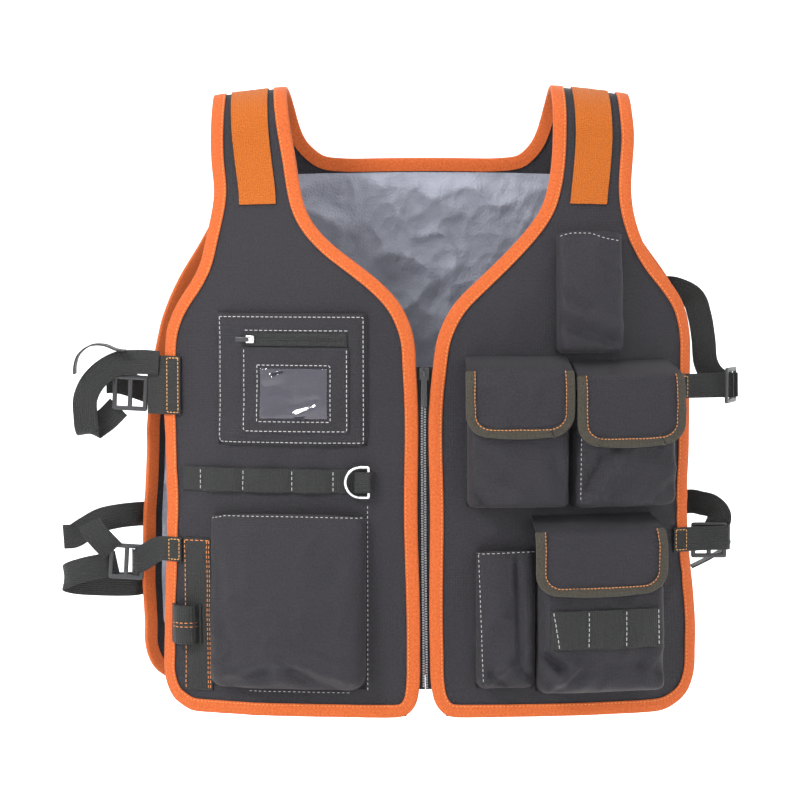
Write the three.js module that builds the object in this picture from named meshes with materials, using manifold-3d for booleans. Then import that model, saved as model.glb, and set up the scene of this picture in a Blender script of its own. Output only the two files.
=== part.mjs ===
// A utility work vest: two front panels, a back panel and its lining, bound edges, a zip,
// pockets, tool loops, a D-ring and four side straps with ladder-lock buckles.
// Millimetres, +Z up, the front towards -Y. The vest keeps the hollow form of a worn vest.
// The origin lies under the tops of the shoulders, midway between them.
import * as THREE from 'three';
import { mergeVertices } from 'three/addons/utils/BufferGeometryUtils.js';
import Module from 'manifold-3d';

const manifold = await Module();
manifold.setup();

// Body form
const HALF_BREADTH = 300; // where the front's and the back's curves would meet at the side
const FRONT_LENGTH = 667; // along the cloth, shoulder seam to front hem
const BACK_LENGTH = 648; // along the cloth, shoulder seam to back hem
const SHOULDER_RADIUS = 42;
const SHOULDER_DROP = 30;
const SHOULDER_FADE = 120; // how fast the drop fades down the cloth
const CHEST_FALL = 200; // from the end of the shoulder arc to the fullest part
const FRONT_CHEST = 88;
const FRONT_HEM = 80;
const BACK_CHEST = 78;
const BACK_HEM = 74;
const SECTION_POWER = 2.4;
const SECTION_ROUND = 0.75;

// Cloth, tape and webbing
const CLOTH = 2;
const LINING = 1;
const TAPE = 1;
const WEBBING = 1.6;
const PATCH = 1.5;
const HOOK_TAPE = 2;
const FILM = 1;
const GAP = 0.5;
const NEAR = 0.4; // between small metal pieces and what they sit on
const INNER_GAP = 1.1;
const BINDING_WIDTH = 12;
const FLAP_BINDING_WIDTH = 9;
const FLAP_BINDING_GAP = 1.1;
const STRAP_WIDTH = 25;
const LOOP_WIDTH = 40;
const HOOK_TAPE_WIDTH = 37;
const HOOK_TAPE_FRONT = 147;
const HOOK_TAPE_BACK = 67;

// Zip
const ZIP_TOP = 312; // along the cloth from the shoulder seam
const ZIP_END = 24; // above the front hem
const ZIP_TAPE_WIDTH = 14;
const TEETH_WIDTH = 2.6;
const TEETH_DEPTH = 2.4;
const ZIP_SLIDER = { width: 10, length: 13, reach: 34, breadth: 6 };
const CARD_SLIDER = { width: 8, length: 9, reach: 15, breadth: 6 };
const PULL_WALL = 1.6;

// D-ring
const RING_HEIGHT = 34;
const RING_REACH = 27;
const RING_WIRE = 3.6;
const KEEPER_WIDTH = 21;
const KEEPER_LENGTH = 14;
const KEEPER_WALL = 1.2;
const RING_SIDES = 8;
const RING_BOW = 8;

// Buckle
const BUCKLE_LENGTH = 37;
const BUCKLE_HEIGHT = 37;
const BUCKLE_BAR = 5;
const BUCKLE_WALL = 3.5;

const SHOULDER_ARC = SHOULDER_RADIUS * Math.PI / 2;
const FRONT = -1;
const BACK = 1;

const COLOUR = {
  cloth: { color: 0x3b3a40, roughness: 0.85 },
  lining: { color: 0x7c8190, roughness: 0.7 },
  binding: { color: 0xe9772f, roughness: 0.75 },
  hook: { color: 0xf08228, roughness: 0.9 },
  trim: { color: 0x55524a, roughness: 0.85 },
  webbing: { color: 0x2c302e, roughness: 0.8 },
  plastic: { color: 0x1d1d1f, roughness: 0.4 },
  steel: { color: 0xb9bbbe, roughness: 0.25, metalness: 1 },
  film: { color: 0xd9dde2, roughness: 0.15 },
};

const vest = new THREE.Group();
const vector = (x, y, z) => new THREE.Vector3(x, y, z);
const mix = (a, b, share) => a + (b - a) * share;

function addMesh(name, geometry, finish) {
  geometry.computeVertexNormals();
  const mesh = new THREE.Mesh(geometry, new THREE.MeshStandardMaterial(COLOUR[finish]));
  mesh.name = name;
  vest.add(mesh);
  return mesh;
}

function closedBody(points, triangles) {
  const geometry = new THREE.BufferGeometry();
  const flat = points.flatMap((point) => [point.x, point.y, point.z]);
  geometry.setAttribute('position', new THREE.Float32BufferAttribute(flat, 3));
  geometry.setIndex(triangles);
  return geometry;
}

// The vest's form: a point x across and `down` along the cloth from the shoulder seam.
const shoulderDrop = (x, down) =>
  SHOULDER_DROP * (x / HALF_BREADTH) ** 2 * Math.exp(-((down / SHOULDER_FADE) ** 2));

function skin(side, x, down) {
  const chest = side === FRONT ? FRONT_CHEST : BACK_CHEST;
  const hem = side === FRONT ? FRONT_HEM : BACK_HEM;
  const length = side === FRONT ? FRONT_LENGTH : BACK_LENGTH;
  let out;
  let up;
  if (down <= SHOULDER_ARC) {
    out = SHOULDER_RADIUS * Math.sin(down / SHOULDER_RADIUS);
    up = SHOULDER_RADIUS * (Math.cos(down / SHOULDER_RADIUS) - 1);
  } else {
    const fall = down - SHOULDER_ARC;
    const share = Math.min(fall / CHEST_FALL, 1);
    const rest = length - SHOULDER_ARC - CHEST_FALL;
    const below = Math.max(fall - CHEST_FALL, 0) / rest;
    out = mix(SHOULDER_RADIUS, chest, share * share * (3 - 2 * share)) - (chest - hem) * below;
    up = -SHOULDER_RADIUS - fall;
  }
  const edge = Math.min(Math.abs(x) / HALF_BREADTH, 1);
  const section = (1 - edge ** SECTION_POWER) ** SECTION_ROUND;
  return vector(x, side * section * out, up - shoulderDrop(x, down));
}

// Edges of the panels. `down` is a share of the panel's length along the cloth, and the other
// columns are shares of HALF_BREADTH, right and left being the wearer's.
const FRONT_EDGES = [
  { down: 0, armRight: 0.722, neckRight: 0.481, armLeft: 0.684, neckLeft: 0.426 },
  { down: 0.025, armRight: 0.722, neckRight: 0.48, armLeft: 0.687, neckLeft: 0.427 },
  { down: 0.05, armRight: 0.724, neckRight: 0.478, armLeft: 0.691, neckLeft: 0.43 },
  { down: 0.075, armRight: 0.726, neckRight: 0.473, armLeft: 0.695, neckLeft: 0.432 },
  { down: 0.1, armRight: 0.728, neckRight: 0.466, armLeft: 0.7, neckLeft: 0.432 },
  { down: 0.15, armRight: 0.725, neckRight: 0.447, armLeft: 0.694, neckLeft: 0.428 },
  { down: 0.2, armRight: 0.715, neckRight: 0.43, armLeft: 0.688, neckLeft: 0.411 },
  { down: 0.229, armRight: 0.722, neckRight: 0.414, armLeft: 0.694, neckLeft: 0.39 },
  { down: 0.257, armRight: 0.734, neckRight: 0.379, armLeft: 0.709, neckLeft: 0.348 },
  { down: 0.285, armRight: 0.746, neckRight: 0.32, armLeft: 0.732, neckLeft: 0.293 },
  { down: 0.313, armRight: 0.76, neckRight: 0.239, armLeft: 0.77, neckLeft: 0.231 },
  { down: 0.34, armRight: 0.79, neckRight: 0.162, armLeft: 0.82, neckLeft: 0.168 },
  { down: 0.368, armRight: 0.832, neckRight: 0.102, armLeft: 0.863, neckLeft: 0.104 },
  { down: 0.41, armRight: 0.873, neckRight: 0.056, armLeft: 0.89, neckLeft: 0.05 },
  { down: 0.48, armRight: 0.885, neckRight: 0.04, armLeft: 0.894, neckLeft: 0.022 },
  { down: 0.7, armRight: 0.876, neckRight: 0.036, armLeft: 0.885, neckLeft: 0.016 },
  { down: 0.9, armRight: 0.891, neckRight: 0.027, armLeft: 0.919, neckLeft: 0.016 },
  { down: 0.96, armRight: 0.886, neckRight: 0.03, armLeft: 0.908, neckLeft: 0.022 },
  { down: 0.982, armRight: 0.862, neckRight: 0.038, armLeft: 0.882, neckLeft: 0.034 },
  { down: 1, armRight: 0.805, neckRight: 0.07, armLeft: 0.815, neckLeft: 0.068 },
];

// The back's neck columns hold the strap's edge down to the neckline and then the body's
// own columns below it.
const BACK_EDGES = [
  { down: 0, armRight: 0.722, neckRight: 0.481, armLeft: 0.684, neckLeft: 0.426 },
  { down: 0.0257, armRight: 0.722, neckRight: 0.474, armLeft: 0.687, neckLeft: 0.422 },
  { down: 0.0515, armRight: 0.724, neckRight: 0.465, armLeft: 0.691, neckLeft: 0.416 },
  { down: 0.0772, armRight: 0.726, neckRight: 0.454, armLeft: 0.697, neckLeft: 0.406 },
  { down: 0.103, armRight: 0.728, neckRight: 0.44, armLeft: 0.7, neckLeft: 0.392 },
  { down: 0.13, armRight: 0.727, neckRight: 0.412, armLeft: 0.697, neckLeft: 0.368 },
  { down: 0.153, armRight: 0.725, neckRight: 0.36, armLeft: 0.694, neckLeft: 0.325 },
  { down: 0.2, armRight: 0.718, neckRight: 0.36, armLeft: 0.69, neckLeft: 0.325 },
  { down: 0.24, armRight: 0.725, neckRight: 0.36, armLeft: 0.7, neckLeft: 0.33 },
  { down: 0.27, armRight: 0.757, neckRight: 0.365, armLeft: 0.725, neckLeft: 0.335 },
  { down: 0.3, armRight: 0.792, neckRight: 0.37, armLeft: 0.765, neckLeft: 0.34 },
  { down: 0.33, armRight: 0.832, neckRight: 0.38, armLeft: 0.81, neckLeft: 0.35 },
  { down: 0.36, armRight: 0.866, neckRight: 0.39, armLeft: 0.85, neckLeft: 0.36 },
  { down: 0.4, armRight: 0.9, neckRight: 0.4, armLeft: 0.882, neckLeft: 0.37 },
  { down: 0.46, armRight: 0.93, neckRight: 0.42, armLeft: 0.892, neckLeft: 0.38 },
  { down: 0.68, armRight: 0.965, neckRight: 0.42, armLeft: 0.882, neckLeft: 0.38 },
  { down: 0.9, armRight: 0.97, neckRight: 0.42, armLeft: 0.885, neckLeft: 0.38 },
  { down: 0.955, armRight: 0.962, neckRight: 0.42, armLeft: 0.876, neckLeft: 0.38 },
  { down: 0.98, armRight: 0.935, neckRight: 0.42, armLeft: 0.85, neckLeft: 0.38 },
  { down: 1, armRight: 0.87, neckRight: 0.42, armLeft: 0.785, neckLeft: 0.38 },
];
const NECK_ROW = 6; // the row of BACK_EDGES that follows the back neckline
const NECK_DIP = 3; // how far the middle of the neckline lies below its corners
const NECK_COLUMNS = 4;
const STRAP_COLUMNS = [0.16, 0.46];

// The height of the origin above the form's own zero: the cloth's underside at mid shoulder.
const STRAP_MIDDLE = (FRONT_EDGES[0].armRight + FRONT_EDGES[0].neckRight) / 2 * HALF_BREADTH;
const RAISE = shoulderDrop(STRAP_MIDDLE, 0) + CLOTH / 2;

function place(side, x, down, lift) {
  const step = 1;
  const across = skin(side, x + step, down).sub(skin(side, x - step, down));
  const along = skin(side, x, down + step).sub(skin(side, x, down - step));
  const normal = across.cross(along).multiplyScalar(side).normalize();
  return skin(side, x, down).addScaledVector(normal, lift).add(vector(0, 0, RAISE));
}

// A cloth body from lattice corners, each with an outer and an inner point, and cells of four
// corners that run anticlockwise as seen from outside. Free edges get a wall.
function slab(corners, cells) {
  const count = corners.length;
  const points = [...corners.map((c) => c.outer), ...corners.map((c) => c.inner)];
  const triangles = [];
  const open = new Map();
  for (const [a, b, c, d] of cells) {
    triangles.push(a, b, c, a, c, d);
    triangles.push(count + a, count + c, count + b, count + a, count + d, count + c);
    for (const [from, to] of [[a, b], [b, c], [c, d], [d, a]]) {
      if (!open.delete(`${to},${from}`)) open.set(`${from},${to}`, [from, to]);
    }
  }
  for (const [from, to] of open.values()) {
    triangles.push(to, from, count + from, to, count + from, count + to);
  }
  return closedBody(points, triangles);
}

// Cells of a full lattice of rows and columns; `flip` turns them to face the other way.
function latticeCells(rows, columns, flip) {
  const cells = [];
  for (let row = 0; row + 1 < rows; row += 1) {
    for (let column = 0; column + 1 < columns; column += 1) {
      const a = row * columns + column;
      const cell = [a, a + columns, a + columns + 1, a + 1];
      cells.push(flip ? cell.reverse() : cell);
    }
  }
  return cells;
}

// A lattice of [x, down] pairs on one side of the vest, as a wall of even thickness.
function layer(side, rows, low, high) {
  const corners = rows.flat().map(([x, down]) => ({
    outer: place(side, x, down, high),
    inner: place(side, x, down, low),
  }));
  const first = rows[0];
  const runsRight = first[first.length - 1][0] > first[0][0];
  const flip = (side === FRONT) !== runsRight;
  return slab(corners, latticeCells(rows.length, first.length, flip));
}

// Columns of a panel: a line under the binding's inner edge, then even steps.
const PANEL_COLUMNS = [0.09, 0.24, 0.44, 0.7];

function acrossRow(from, to) {
  const way = Math.sign(to - from);
  const a = from + way * BINDING_WIDTH;
  const b = to - way * BINDING_WIDTH;
  return [from, a, ...PANEL_COLUMNS.map((share) => mix(a, b, share)), b, to];
}

const SIDES = { right: -1, left: 1 };

function frontRows(hand) {
  const sign = SIDES[hand];
  const arm = hand === 'right' ? 'armRight' : 'armLeft';
  const neck = hand === 'right' ? 'neckRight' : 'neckLeft';
  return FRONT_EDGES.map((row) => {
    const from = sign * row[arm] * HALF_BREADTH;
    const to = sign * row[neck] * HALF_BREADTH;
    return acrossRow(from, to).map((x) => [x, row.down * FRONT_LENGTH]);
  });
}

// An edge of the tables at any place along the cloth, in millimetres from the middle.
function edgeAt(table, length, column, down) {
  const share = THREE.MathUtils.clamp(down / length, 0, 1);
  const next = Math.max(table.findIndex((row) => row.down >= share), 1);
  const [a, b] = [table[next - 1], table[next]];
  return mix(a[column], b[column], (share - a.down) / (b.down - a.down)) * HALF_BREADTH;
}

// Binding: a U of tape round a free edge, swept along a path of [x, down] pairs. The free
// side of the cloth lies to the path's right as seen from outside the vest.
function bindEdge(side, path, halfWall, width, innerGap, tape) {
  const low = -halfWall - innerGap;
  const high = halfWall + GAP;
  const section = [
    [-width, high + tape], [-width, high], [GAP, high], [GAP, low],
    [-width, low], [-width, low - tape], [GAP + tape, low - tape], [GAP + tape, high + tape],
  ];
  return sweepOnSkin(side, path, section);
}

// Sweeps a section of [outward, lift] pairs along a path on the vest's form.
function sweepOnSkin(side, path, section) {
  const points = [];
  path.forEach(([x, down], index) => {
    const before = path[Math.max(index - 1, 0)];
    const after = path[Math.min(index + 1, path.length - 1)];
    const at = (px, pd) => place(side, px, pd, 0);
    const along = at(...after).sub(at(...before)).normalize();
    const alongX = at(x + 1, down).sub(at(x - 1, down)).divideScalar(2);
    const alongDown = at(x, down + 1).sub(at(x, down - 1)).divideScalar(2);
    const normal = alongX.clone().cross(alongDown).multiplyScalar(side).normalize();
    const outward = along.clone().cross(normal).normalize();
    const xx = alongX.dot(alongX);
    const xd = alongX.dot(alongDown);
    const dd = alongDown.dot(alongDown);
    const ox = outward.dot(alongX);
    const od = outward.dot(alongDown);
    const scale = xx * dd - xd * xd;
    const stepX = (ox * dd - od * xd) / scale;
    const stepDown = (od * xx - ox * xd) / scale;
    for (const [reach, lift] of section) {
      points.push(place(side, x + reach * stepX, down + reach * stepDown, lift));
    }
  });
  return tubeOf(points, path.length, section.length);
}

// A capped tube through rings of points; the rings' points run clockwise seen along the path.
function tubeOf(points, rings, sides, loop = false) {
  const triangles = [];
  const last = loop ? rings : rings - 1;
  for (let ring = 0; ring < last; ring += 1) {
    for (let side = 0; side < sides; side += 1) {
      const a = ring * sides + side;
      const b = ring * sides + (side + 1) % sides;
      const c = ((ring + 1) % rings) * sides + (side + 1) % sides;
      const d = ((ring + 1) % rings) * sides + side;
      triangles.push(a, c, b, a, d, c);
    }
  }
  if (!loop) {
    const outline = points.slice(0, sides);
    triangles.push(...capOf(outline, 0, false));
    triangles.push(...capOf(points.slice(-sides), (rings - 1) * sides, true));
  }
  return closedBody(points, triangles);
}

// Triangles over a flat outline of points, whose numbers start at `first`.
function capOf(outline, first, reverse) {
  const centre = outline.reduce((sum, p) => sum.add(p), vector(0, 0, 0));
  centre.divideScalar(outline.length);
  const normal = vector(0, 0, 0);
  outline.forEach((point, i) => {
    const next = outline[(i + 1) % outline.length];
    normal.add(point.clone().sub(centre).cross(next.clone().sub(centre)));
  });
  normal.normalize();
  const axisU = outline[1].clone().sub(outline[0]).normalize();
  const axisV = normal.clone().cross(axisU);
  const flat = outline.map((p) => new THREE.Vector2(p.dot(axisU), p.dot(axisV)));
  const faces = THREE.ShapeUtils.triangulateShape(flat, []);
  return faces.flatMap((face) => {
    const [a, b, c] = face.map((i) => first + i);
    return reverse ? [a, c, b] : [a, b, c];
  });
}

// Panels and lining
function makeFronts() {
  for (const hand of ['right', 'left']) {
    const rows = frontRows(hand);
    addMesh(`front_panel_${hand}`, layer(FRONT, rows, -CLOTH / 2, CLOTH / 2), 'cloth');
    const arm = rows.map((row) => row[0]);
    const hem = rows[rows.length - 1].slice(1, -1);
    const neck = rows.map((row) => row[row.length - 1]).reverse();
    const path = [...arm, ...hem, ...neck];
    if (hand === 'left') path.reverse();
    const band = bindEdge(FRONT, path, CLOTH / 2, BINDING_WIDTH, INNER_GAP, TAPE);
    addMesh(`binding_front_${hand}`, band, 'binding');
  }
}

// The back's lattice: full rows below the neckline and only the straps' columns above it.
function backLattice() {
  const rows = BACK_EDGES.map((row, index) => {
    const down = row.down * BACK_LENGTH;
    const arm = (column, sign) => sign * row[column] * HALF_BREADTH;
    const neck = (column, sign) => sign * row[column] * HALF_BREADTH;
    const strap = (from, to) => {
      const a = from + Math.sign(to - from) * BINDING_WIDTH;
      return [from, a, ...STRAP_COLUMNS.map((share) => mix(a, to, share)), to];
    };
    const right = strap(arm('armRight', -1), neck('neckRight', -1));
    const left = strap(arm('armLeft', 1), neck('neckLeft', 1)).reverse();
    const middle = [];
    if (index >= NECK_ROW) {
      for (let i = 1; i < NECK_COLUMNS; i += 1) {
        middle.push(mix(right[right.length - 1], left[0], i / NECK_COLUMNS));
      }
    }
    const dip = index === NECK_ROW ? NECK_DIP : 0;
    const points = [
      ...right.map((x) => [x, down]),
      ...middle.map((x) => [x, down + dip]),
      ...left.map((x) => [x, down]),
    ];
    return { points, strap: right.length, full: index >= NECK_ROW };
  });
  return rows;
}

// Cells between rows of the back's lattice, which has a gap between the straps.
function backCells(rows, start) {
  const cells = [];
  let base = 0;
  for (let index = start; index + 1 < rows.length; index += 1) {
    const [here, next] = [rows[index], rows[index + 1]];
    const count = here.points.length;
    for (let column = 0; column + 1 < count; column += 1) {
      const bridges = !here.full && column === here.strap - 1;
      if (!bridges) {
        const skip = !here.full && next.full && column >= here.strap ? NECK_COLUMNS - 1 : 0;
        const a = base + column;
        const b = base + count + column + skip;
        cells.push([a, a + 1, b + 1, b]);
      }
    }
    base += count;
  }
  return cells;
}

function backLayer(rows, start, low, high) {
  const corners = rows.slice(start).flatMap((row) => row.points).map(([x, down]) => ({
    outer: place(BACK, x, down, high),
    inner: place(BACK, x, down, low),
  }));
  return slab(corners, backCells(rows, start));
}

function makeBack() {
  const rows = backLattice();
  rows[0].points.forEach((point) => { point[1] = 2 * GAP; });
  addMesh('back_panel', backLayer(rows, 0, -CLOTH / 2, CLOTH / 2), 'cloth');

  const first = (row) => row.points[0];
  const final = (row) => row.points[row.points.length - 1];
  const hem = rows[rows.length - 1].points.slice(1, -1);
  const outer = [...rows.map(first), ...hem, ...rows.map(final).reverse()].reverse();
  const band = bindEdge(BACK, outer, CLOTH / 2, BINDING_WIDTH, INNER_GAP, TAPE);
  addMesh('binding_back', band, 'binding');

  const straps = rows.slice(0, NECK_ROW);
  const rightNeck = straps.map((row) => row.points[row.strap - 1]);
  const leftNeck = straps.map((row) => row.points[row.strap]).reverse();
  const neckline = rows[NECK_ROW].points.slice(rows[0].strap - 1, -(rows[0].strap - 1));
  const neckPath = [...rightNeck, ...neckline, ...leftNeck];
  const neckBand = bindEdge(BACK, neckPath, CLOTH / 2, BINDING_WIDTH, INNER_GAP, TAPE);
  addMesh('binding_back_neck', neckBand, 'binding');
}

// The lining hangs inside the back on the panel's own columns, clear of the bindings.
const LINING_CLEAR = 4;
const LINING_CORNER = 10; // how far its lower corners stay in from the rounded hem corners

function makeLining() {
  const rows = backLattice().slice(NECK_ROW, -2).map((row) => {
    const points = row.points.slice(1, -1).map((point) => [...point]);
    points[0][0] += LINING_CLEAR;
    points[points.length - 1][0] -= LINING_CLEAR;
    return { points, strap: row.strap - 1, full: true };
  });
  rows[0].points.forEach((point) => { point[1] += BINDING_WIDTH + LINING_CLEAR; });
  const low = rows[rows.length - 1].points;
  low[0][0] += LINING_CORNER;
  low[low.length - 1][0] -= LINING_CORNER;
  const high = -CLOTH / 2 - GAP;
  addMesh('back_lining', backLayer(rows, 0, high - LINING, high), 'lining');
}

// Hook tape over the shoulder, on the rows of the panels so that it lies on them.
function makeShoulderTapes() {
  for (const hand of ['right', 'left']) {
    const sign = SIDES[hand];
    const arm = hand === 'right' ? 'armRight' : 'armLeft';
    const neck = hand === 'right' ? 'neckRight' : 'neckLeft';
    const stops = (table, length, end) => {
      const downs = table.map((row) => row.down * length).filter((down) => down < end - 2);
      return [...downs, end];
    };
    const strips = [
      [BACK, BACK_EDGES, BACK_LENGTH, stops(BACK_EDGES, BACK_LENGTH, HOOK_TAPE_BACK).reverse()],
      [FRONT, FRONT_EDGES, FRONT_LENGTH, stops(FRONT_EDGES, FRONT_LENGTH, HOOK_TAPE_FRONT)],
    ];
    const corners = [];
    for (const [side, table, length, downs] of strips) {
      for (const down of side === BACK ? downs.slice(0, -1) : downs) {
        const middle = (edgeAt(table, length, arm, down) + edgeAt(table, length, neck, down)) / 2;
        for (const share of [-0.5, 0, 0.5]) {
          const x = sign * middle + share * HOOK_TAPE_WIDTH;
          const low = CLOTH / 2 + GAP;
          corners.push({
            outer: place(side, x, down, low + HOOK_TAPE),
            inner: place(side, x, down, low),
          });
        }
      }
    }
    const cells = latticeCells(corners.length / 3, 3, false);
    addMesh(`shoulder_tape_${hand}`, slab(corners, cells), 'hook');
  }
}

// A strip of webbing on the right or left front between x and down limits. `stitches` holds
// the stitch lines as shares of its run, each with the bulge of the stretch that follows it.
const BULGE_PARTS = [0, 0.2, 0.5, 0.8];

function strip(box, wall, stitches, alongDown = false) {
  const stops = stitches.slice(0, -1).flatMap((stitch, i) => BULGE_PARTS.map((part) => ({
    share: mix(stitch.at, stitches[i + 1].at, part),
    rise: stitch.bulge * Math.sqrt(Math.sin(part * Math.PI)),
  })));
  stops.push({ share: 1, rise: 0 });
  const corners = stops.flatMap(({ share, rise }) => [0, 1].map((edge) => {
    const [shareX, shareDown] = alongDown ? [edge, share] : [share, edge];
    const x = mix(box.left, box.right, shareX);
    const down = mix(box.top, box.bottom, shareDown);
    const low = CLOTH / 2 + GAP + box.stand(x, down) + rise;
    return { outer: place(FRONT, x, down, low + wall), inner: place(FRONT, x, down, low) };
  }));
  return slab(corners, latticeCells(stops.length, 2, !alongDown));
}

// Pouches: patch pockets whose front stands off the panel on side and bottom walls, open at
// the top. The wall's profile rises from the foot; its columns are shares of roll and depth.
const POUCH_EDGE = [
  { inset: 0, rise: 0 },
  { inset: 0.12, rise: 0.8 },
  { inset: 1, rise: 1 },
];
const POUCH_MIDDLE = [0.25, 0.5, 0.75];

// How far a pocket's front stands off its foot.
function standOf(box, x, down) {
  const low = THREE.MathUtils.clamp((down - box.top) / (box.bottom - box.top), 0, 1);
  const span = THREE.MathUtils.clamp((x - box.left) / (box.right - box.left), 0, 1);
  const crown = box.crown * Math.sin(Math.PI * span) * Math.sin(Math.PI * low);
  return mix(box.mouth, box.depth, low ** 0.8) + crown;
}

function pouch(box) {
  const { left, right, top, bottom, roll, wall } = box;
  const make = (inner) => {
    const inset = inner ? wall : 0;
    const a = left + inset;
    const b = right - inset;
    const c = bottom - inset;
    const rounding = Math.max(roll - inset, 1);
    const across = [
      ...POUCH_EDGE.map((e) => [a + e.inset * rounding, e.rise]),
      ...POUCH_MIDDLE.map((share) => [mix(a + rounding, b - rounding, share), 1]),
      ...[...POUCH_EDGE].reverse().map((e) => [b - e.inset * rounding, e.rise]),
    ];
    const upward = [
      ...POUCH_EDGE.map((e) => [c - e.inset * rounding, e.rise]),
      ...POUCH_MIDDLE.map((share) => [mix(c - rounding, top, share), 1]),
      [top, 1],
    ];
    return upward.map(([down, riseDown]) => across.map(([x, riseAcross]) => {
      const stand = (standOf(box, x, down) - inset) * Math.min(riseAcross, riseDown);
      return place(FRONT, x, down, CLOTH / 2 + GAP + stand);
    }));
  };
  const outer = make(false);
  const inner = make(true);
  const pair = (point, i, j) => ({ outer: point, inner: inner[i][j] });
  const corners = outer.flatMap((row, i) => row.map((point, j) => pair(point, i, j)));
  return slab(corners, latticeCells(outer.length, outer[0].length, true));
}

// Pockets of the right and left front. Sideways columns are shares of HALF_BREADTH and the
// others are shares of FRONT_LENGTH down the cloth from the shoulder seam.
const POCKETS = [
  {
    name: 'id_pocket', left: -0.702, right: -0.2, top: 0.387, bottom: 0.587,
    mouth: 6, depth: 6, roll: 4, crown: 0,
  },
  {
    name: 'large_pocket', left: -0.722, right: -0.204, top: 0.69, bottom: 0.958,
    mouth: 12, depth: 26, roll: 12, crown: 4,
  },
  {
    name: 'tall_pocket', left: 0.432, right: 0.648, top: 0.268, bottom: 0.447,
    mouth: 14, depth: 18, roll: 8, crown: 3,
  },
  {
    name: 'flap_pocket_a', left: 0.134, right: 0.464, top: 0.478, bottom: 0.678,
    mouth: 25, depth: 29, roll: 9, crown: 2,
  },
  {
    name: 'flap_pocket_b', left: 0.482, right: 0.812, top: 0.486, bottom: 0.68,
    mouth: 25, depth: 29, roll: 9, crown: 2,
  },
  {
    name: 'flap_pocket_c', left: 0.368, right: 0.775, top: 0.725, bottom: 0.962,
    mouth: 27, depth: 33, roll: 10, crown: 3,
  },
  {
    name: 'narrow_pocket', left: 0.165, right: 0.362, top: 0.744, bottom: 0.955,
    mouth: 13, depth: 17, roll: 7, crown: 2,
  },
];
const POCKET_WALL = 1.6;

const FLAPS = [
  { name: 'flap_a', pocket: 'flap_pocket_a', left: 0.128, right: 0.466, top: 0.452, bottom: 0.567 },
  { name: 'flap_b', pocket: 'flap_pocket_b', left: 0.48, right: 0.815, top: 0.46, bottom: 0.583 },
  { name: 'flap_c', pocket: 'flap_pocket_c', left: 0.35, right: 0.76, top: 0.694, bottom: 0.807 },
];
const FLAP_WALL = 2;
const FLAP_CORNER = 20;
const FLAP_CLEAR = 3; // between a flap and the pocket's front
const FLAP_BEND = 15; // how far down the cloth the flap bends over the pocket's mouth

const across = (share) => share * HALF_BREADTH;
const along = (share) => share * FRONT_LENGTH;

function pocketBox(row) {
  return {
    left: across(row.left),
    right: across(row.right),
    top: along(row.top),
    bottom: along(row.bottom),
    mouth: row.mouth,
    depth: row.depth,
    roll: row.roll,
    wall: POCKET_WALL,
    crown: row.crown,
  };
}

const boxOf = (name) => pocketBox(POCKETS.find((row) => row.name === name));

function makePockets() {
  for (const row of POCKETS) {
    addMesh(row.name, pouch(pocketBox(row)), 'cloth');
  }
}

// Flaps: [share of the flap's drop, share of its stand over the pocket]
const FLAP_PROFILE = [
  { drop: 0, stand: 0 },
  { drop: 0.2, stand: 0.02 },
  { drop: 0.6, stand: 0.72 },
  { drop: 1, stand: 1 },
];
const FLAP_COLUMNS = [0, 0.09, 0.22, 0.36, 0.5, 0.64, 0.78, 0.91, 1];

function flapLattice(row, box) {
  const [left, right] = [across(row.left), across(row.right)];
  const [top, bottom] = [along(row.top), along(row.bottom)];
  const stand = box.mouth + FLAP_CLEAR + FLAP_WALL;
  const lifts = FLAP_PROFILE.map((p) => [top + p.drop * FLAP_BEND, p.stand * stand]);
  const corner = bottom - FLAP_CORNER;
  const swell = (down) => (box.depth - box.mouth) * (down - top) / (box.bottom - top);
  const rise = (down) => stand + swell(down) + box.crown;
  const lower = [
    mix(top + FLAP_BEND, corner, 0.5), corner, corner + 0.5 * FLAP_CORNER,
    corner + 0.87 * FLAP_CORNER, bottom,
  ].map((down) => [down, rise(down)]);
  return [...lifts, ...lower].map(([down, lift]) => {
    const over = Math.max(down - corner, 0);
    const inset = FLAP_CORNER - Math.sqrt(Math.max(FLAP_CORNER ** 2 - over ** 2, 0));
    return FLAP_COLUMNS.map((share) => [mix(left + inset, right - inset, share), down, lift]);
  });
}

// A lattice of points with a wall of even thickness, half on each side of it.
function wallOn(lattice, wall) {
  const rows = lattice.length;
  const columns = lattice[0].length;
  const corners = lattice.flatMap((row, i) => row.map((point, j) => {
    const up = lattice[Math.max(i - 1, 0)][j];
    const down = lattice[Math.min(i + 1, rows - 1)][j];
    const before = row[Math.max(j - 1, 0)];
    const after = row[Math.min(j + 1, columns - 1)];
    const normal = down.clone().sub(up).cross(after.clone().sub(before)).normalize();
    return {
      outer: point.clone().addScaledVector(normal, wall / 2),
      inner: point.clone().addScaledVector(normal, -wall / 2),
    };
  }));
  return slab(corners, latticeCells(rows, columns, false));
}

function makeFlaps() {
  for (const row of FLAPS) {
    const box = boxOf(row.pocket);
    const flat = flapLattice(row, box);
    const base = CLOTH / 2 + GAP + FLAP_WALL / 2;
    const at = ([x, down, lift]) => place(FRONT, x, down, base + lift);
    const lattice = flat.map((line) => line.map(at));
    addMesh(row.name, wallOn(lattice, FLAP_WALL), 'cloth');
    addMesh(`${row.name}_binding`, flapBinding(lattice), 'trim');
  }
}

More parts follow.
